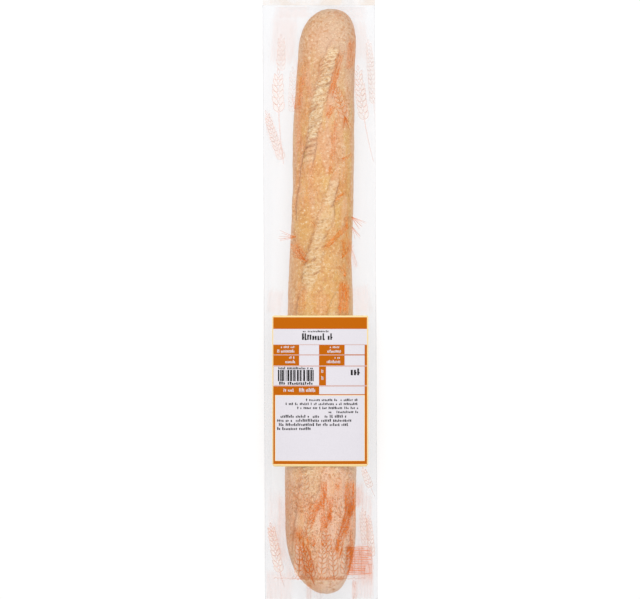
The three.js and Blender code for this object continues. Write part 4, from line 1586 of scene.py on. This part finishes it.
# %% Place the ears and bristles
# Each ear is (x, y of its base, length, lean, ink, milk, stalk, size, bend).
EARS = [
    (-33.0, 150, 31, -2, 0.34, 0.26, 42, 1.35, 3), (-31.2, 183, 27, 1, 0.22, 0.2, 0, 1.0, -2),
    (-22.5, 150, 38, 3, 0.2, 0.12, 0, 0.9, -4), (-30.5, 112, 41, -20, 0.32, 0.18, 0, 0.95, 3),
    (35.5, 144, 44, -9, 0.36, 0.26, 34, 1.2, 4), (43.0, 157, 53, -5, 0.24, 0.2, 20, 0.95, 0),
    (20.0, 144, 28, -17, 0.42, 0.36, 0, 1.15, 0), (40.5, -150, 16, -22, 0.42, 0.25, 12, 0.8, 0),
    (-32.0, -218, 42, -13, 0.46, 0.42, 12, 1.1, 4), (-17.0, -221, 30, 3, 0.55, 0.8, 0, 1.15, -5),
    (-6.5, -222, 28, -16, 1.05, 0.1, 6, 1.15, 3), (1.0, -219, 24, 3, 0.44, 0.85, 0, 1.1, 2),
    (11.0, -221, 24, -4, 0.54, 0.85, 4, 1.1, 3), (19.5, -219, 22, 6, 0.52, 0.6, 0, 1.0, -3),
    (5.0, -201, 20, 0, 0.55, 0.4, 0, 1.1, 0), (-12.5, -190, 26, 14, 0.4, 0.34, 0, 1.0, -6),
    (-13.0, -160, 24, 4, 0.24, 0.3, 0, 1.1, 0), (13.5, -196, 22, 14, 0.44, 0.3, 0, 1.0, 0),
    (36.0, -196, 28, -4, 0.36, 0.25, 0, 0.9, 0), (41.5, -206, 36, -5, 0.4, 0.35, 10, 0.85, 0),
    (-11.0, 30, 17, -36, 0.66, 0.12, 0, 0.85, -10),
]
# Each fan of bristles is (x, y, length, lean, spread, count, ink).
AWNS = [
    (-19, 50, 15, -90, 40, 6, 0.62), (-11.5, 31, 13, -54, 44, 5, 0.7), (25, 66, 13, 128, 48, 7, 0.6),
    (25.5, 58, 12, 146, 40, 5, 0.5), (17.5, 33, 16, 28, 50, 6, 0.5), (20, 18, 12, -10, 60, 6, 0.4),
    (5, -182, 15, 0, 60, 7, 0.6), (-8, -166, 13, 8, 60, 6, 0.4), (16, -174, 14, -8, 70, 6, 0.36),
    (-16, -192, 13, -4, 60, 6, 0.5), (-5, -197, 11, -10, 80, 6, 0.56), (2, -196, 10, 16, 60, 5, 0.4),
    (14, -200, 12, 4, 60, 5, 0.44), (20, 146, 12, 170, 60, 5, 0.6), (-20, 152, 14, 4, 50, 5, 0.5),
    (-7, 62.6, 7, 135, 24, 2, 0.5),
]

# %% [markdown]
# Below the ears the drawing stands on a ground line with grass, and a striped block is printed
# beside it. Both are made of the same pen lines.

# %% Make the drawn print
EAR_LIFT = 0.16
EAR_SEED = 21
GROUND_LINE_Y = -223.0
GRASS_PITCH = 0.9
STRIPED_BLOCK = (21.5, 41.6, -219.5, -196.5)
STRIPE_PITCH = 1.45
UPRIGHTS = (27.7, 33.3, 41.0)


def draw_ground(drawing, rng):
    x = np.arange(-37, 37, 1.5)
    y = GROUND_LINE_Y + 0.5 * np.sin(x * 1.9) + 0.3 * np.sin(x * 5.1)
    drawing.line(np.stack([x, y], -1), 0.9, 0.26)
    for x in np.arange(-22, 19, GRASS_PITCH):
        foot = GROUND_LINE_Y + rng.uniform(-1.4, -0.2)
        lean, rise = rng.uniform(0.5, 2.0), rng.uniform(1.6, 4.4)
        blade = [(x, foot), (x + 0.3 * lean, foot + rise / 2), (x + lean, foot + rise)]
        drawing.line(blade, [0.6, 0.5, 0.2], 0.55)


def draw_block(drawing, rng):
    left, right, bottom, top = STRIPED_BLOCK
    for y in np.arange(bottom, top, STRIPE_PITCH):
        end = right - rng.choice((0, 0, 0.6, 2.4, 5.0))
        x = np.arange(left + rng.uniform(0, 0.5), end, 1.0)
        drawing.line(np.stack([x, np.full_like(x, y)], -1), rng.uniform(0.5, 1.0), rng.uniform(0.45, 1.0))
    y = np.arange(bottom, top, 1.0)
    for x in UPRIGHTS:
        drawing.line(np.stack([np.full_like(y, x), y], -1), 0.7, 0.55)


def make_drawn_print():
    rng = random.Random(EAR_SEED)
    drawing = Drawing()
    for ear in EARS:
        draw_ear(drawing, rng, *ear)
    for awns in AWNS:
        draw_awns(drawing, rng, *awns)
    for stroke in STROKES:
        if stroke[5] > HAIRY_INK:
            draw_hairs(drawing, rng, stroke)
    draw_ground(drawing, rng)
    draw_block(drawing, rng)
    x, y = np.array(drawing.places).T
    x = np.clip(x, 1 - SLEEVE_HALF_WIDTH, SLEEVE_HALF_WIDTH - 1)
    print_piece("print_wheat", x, y, drawing.faces, drawing.ink, drawing.milk, EAR_LIFT)


make_drawn_print()
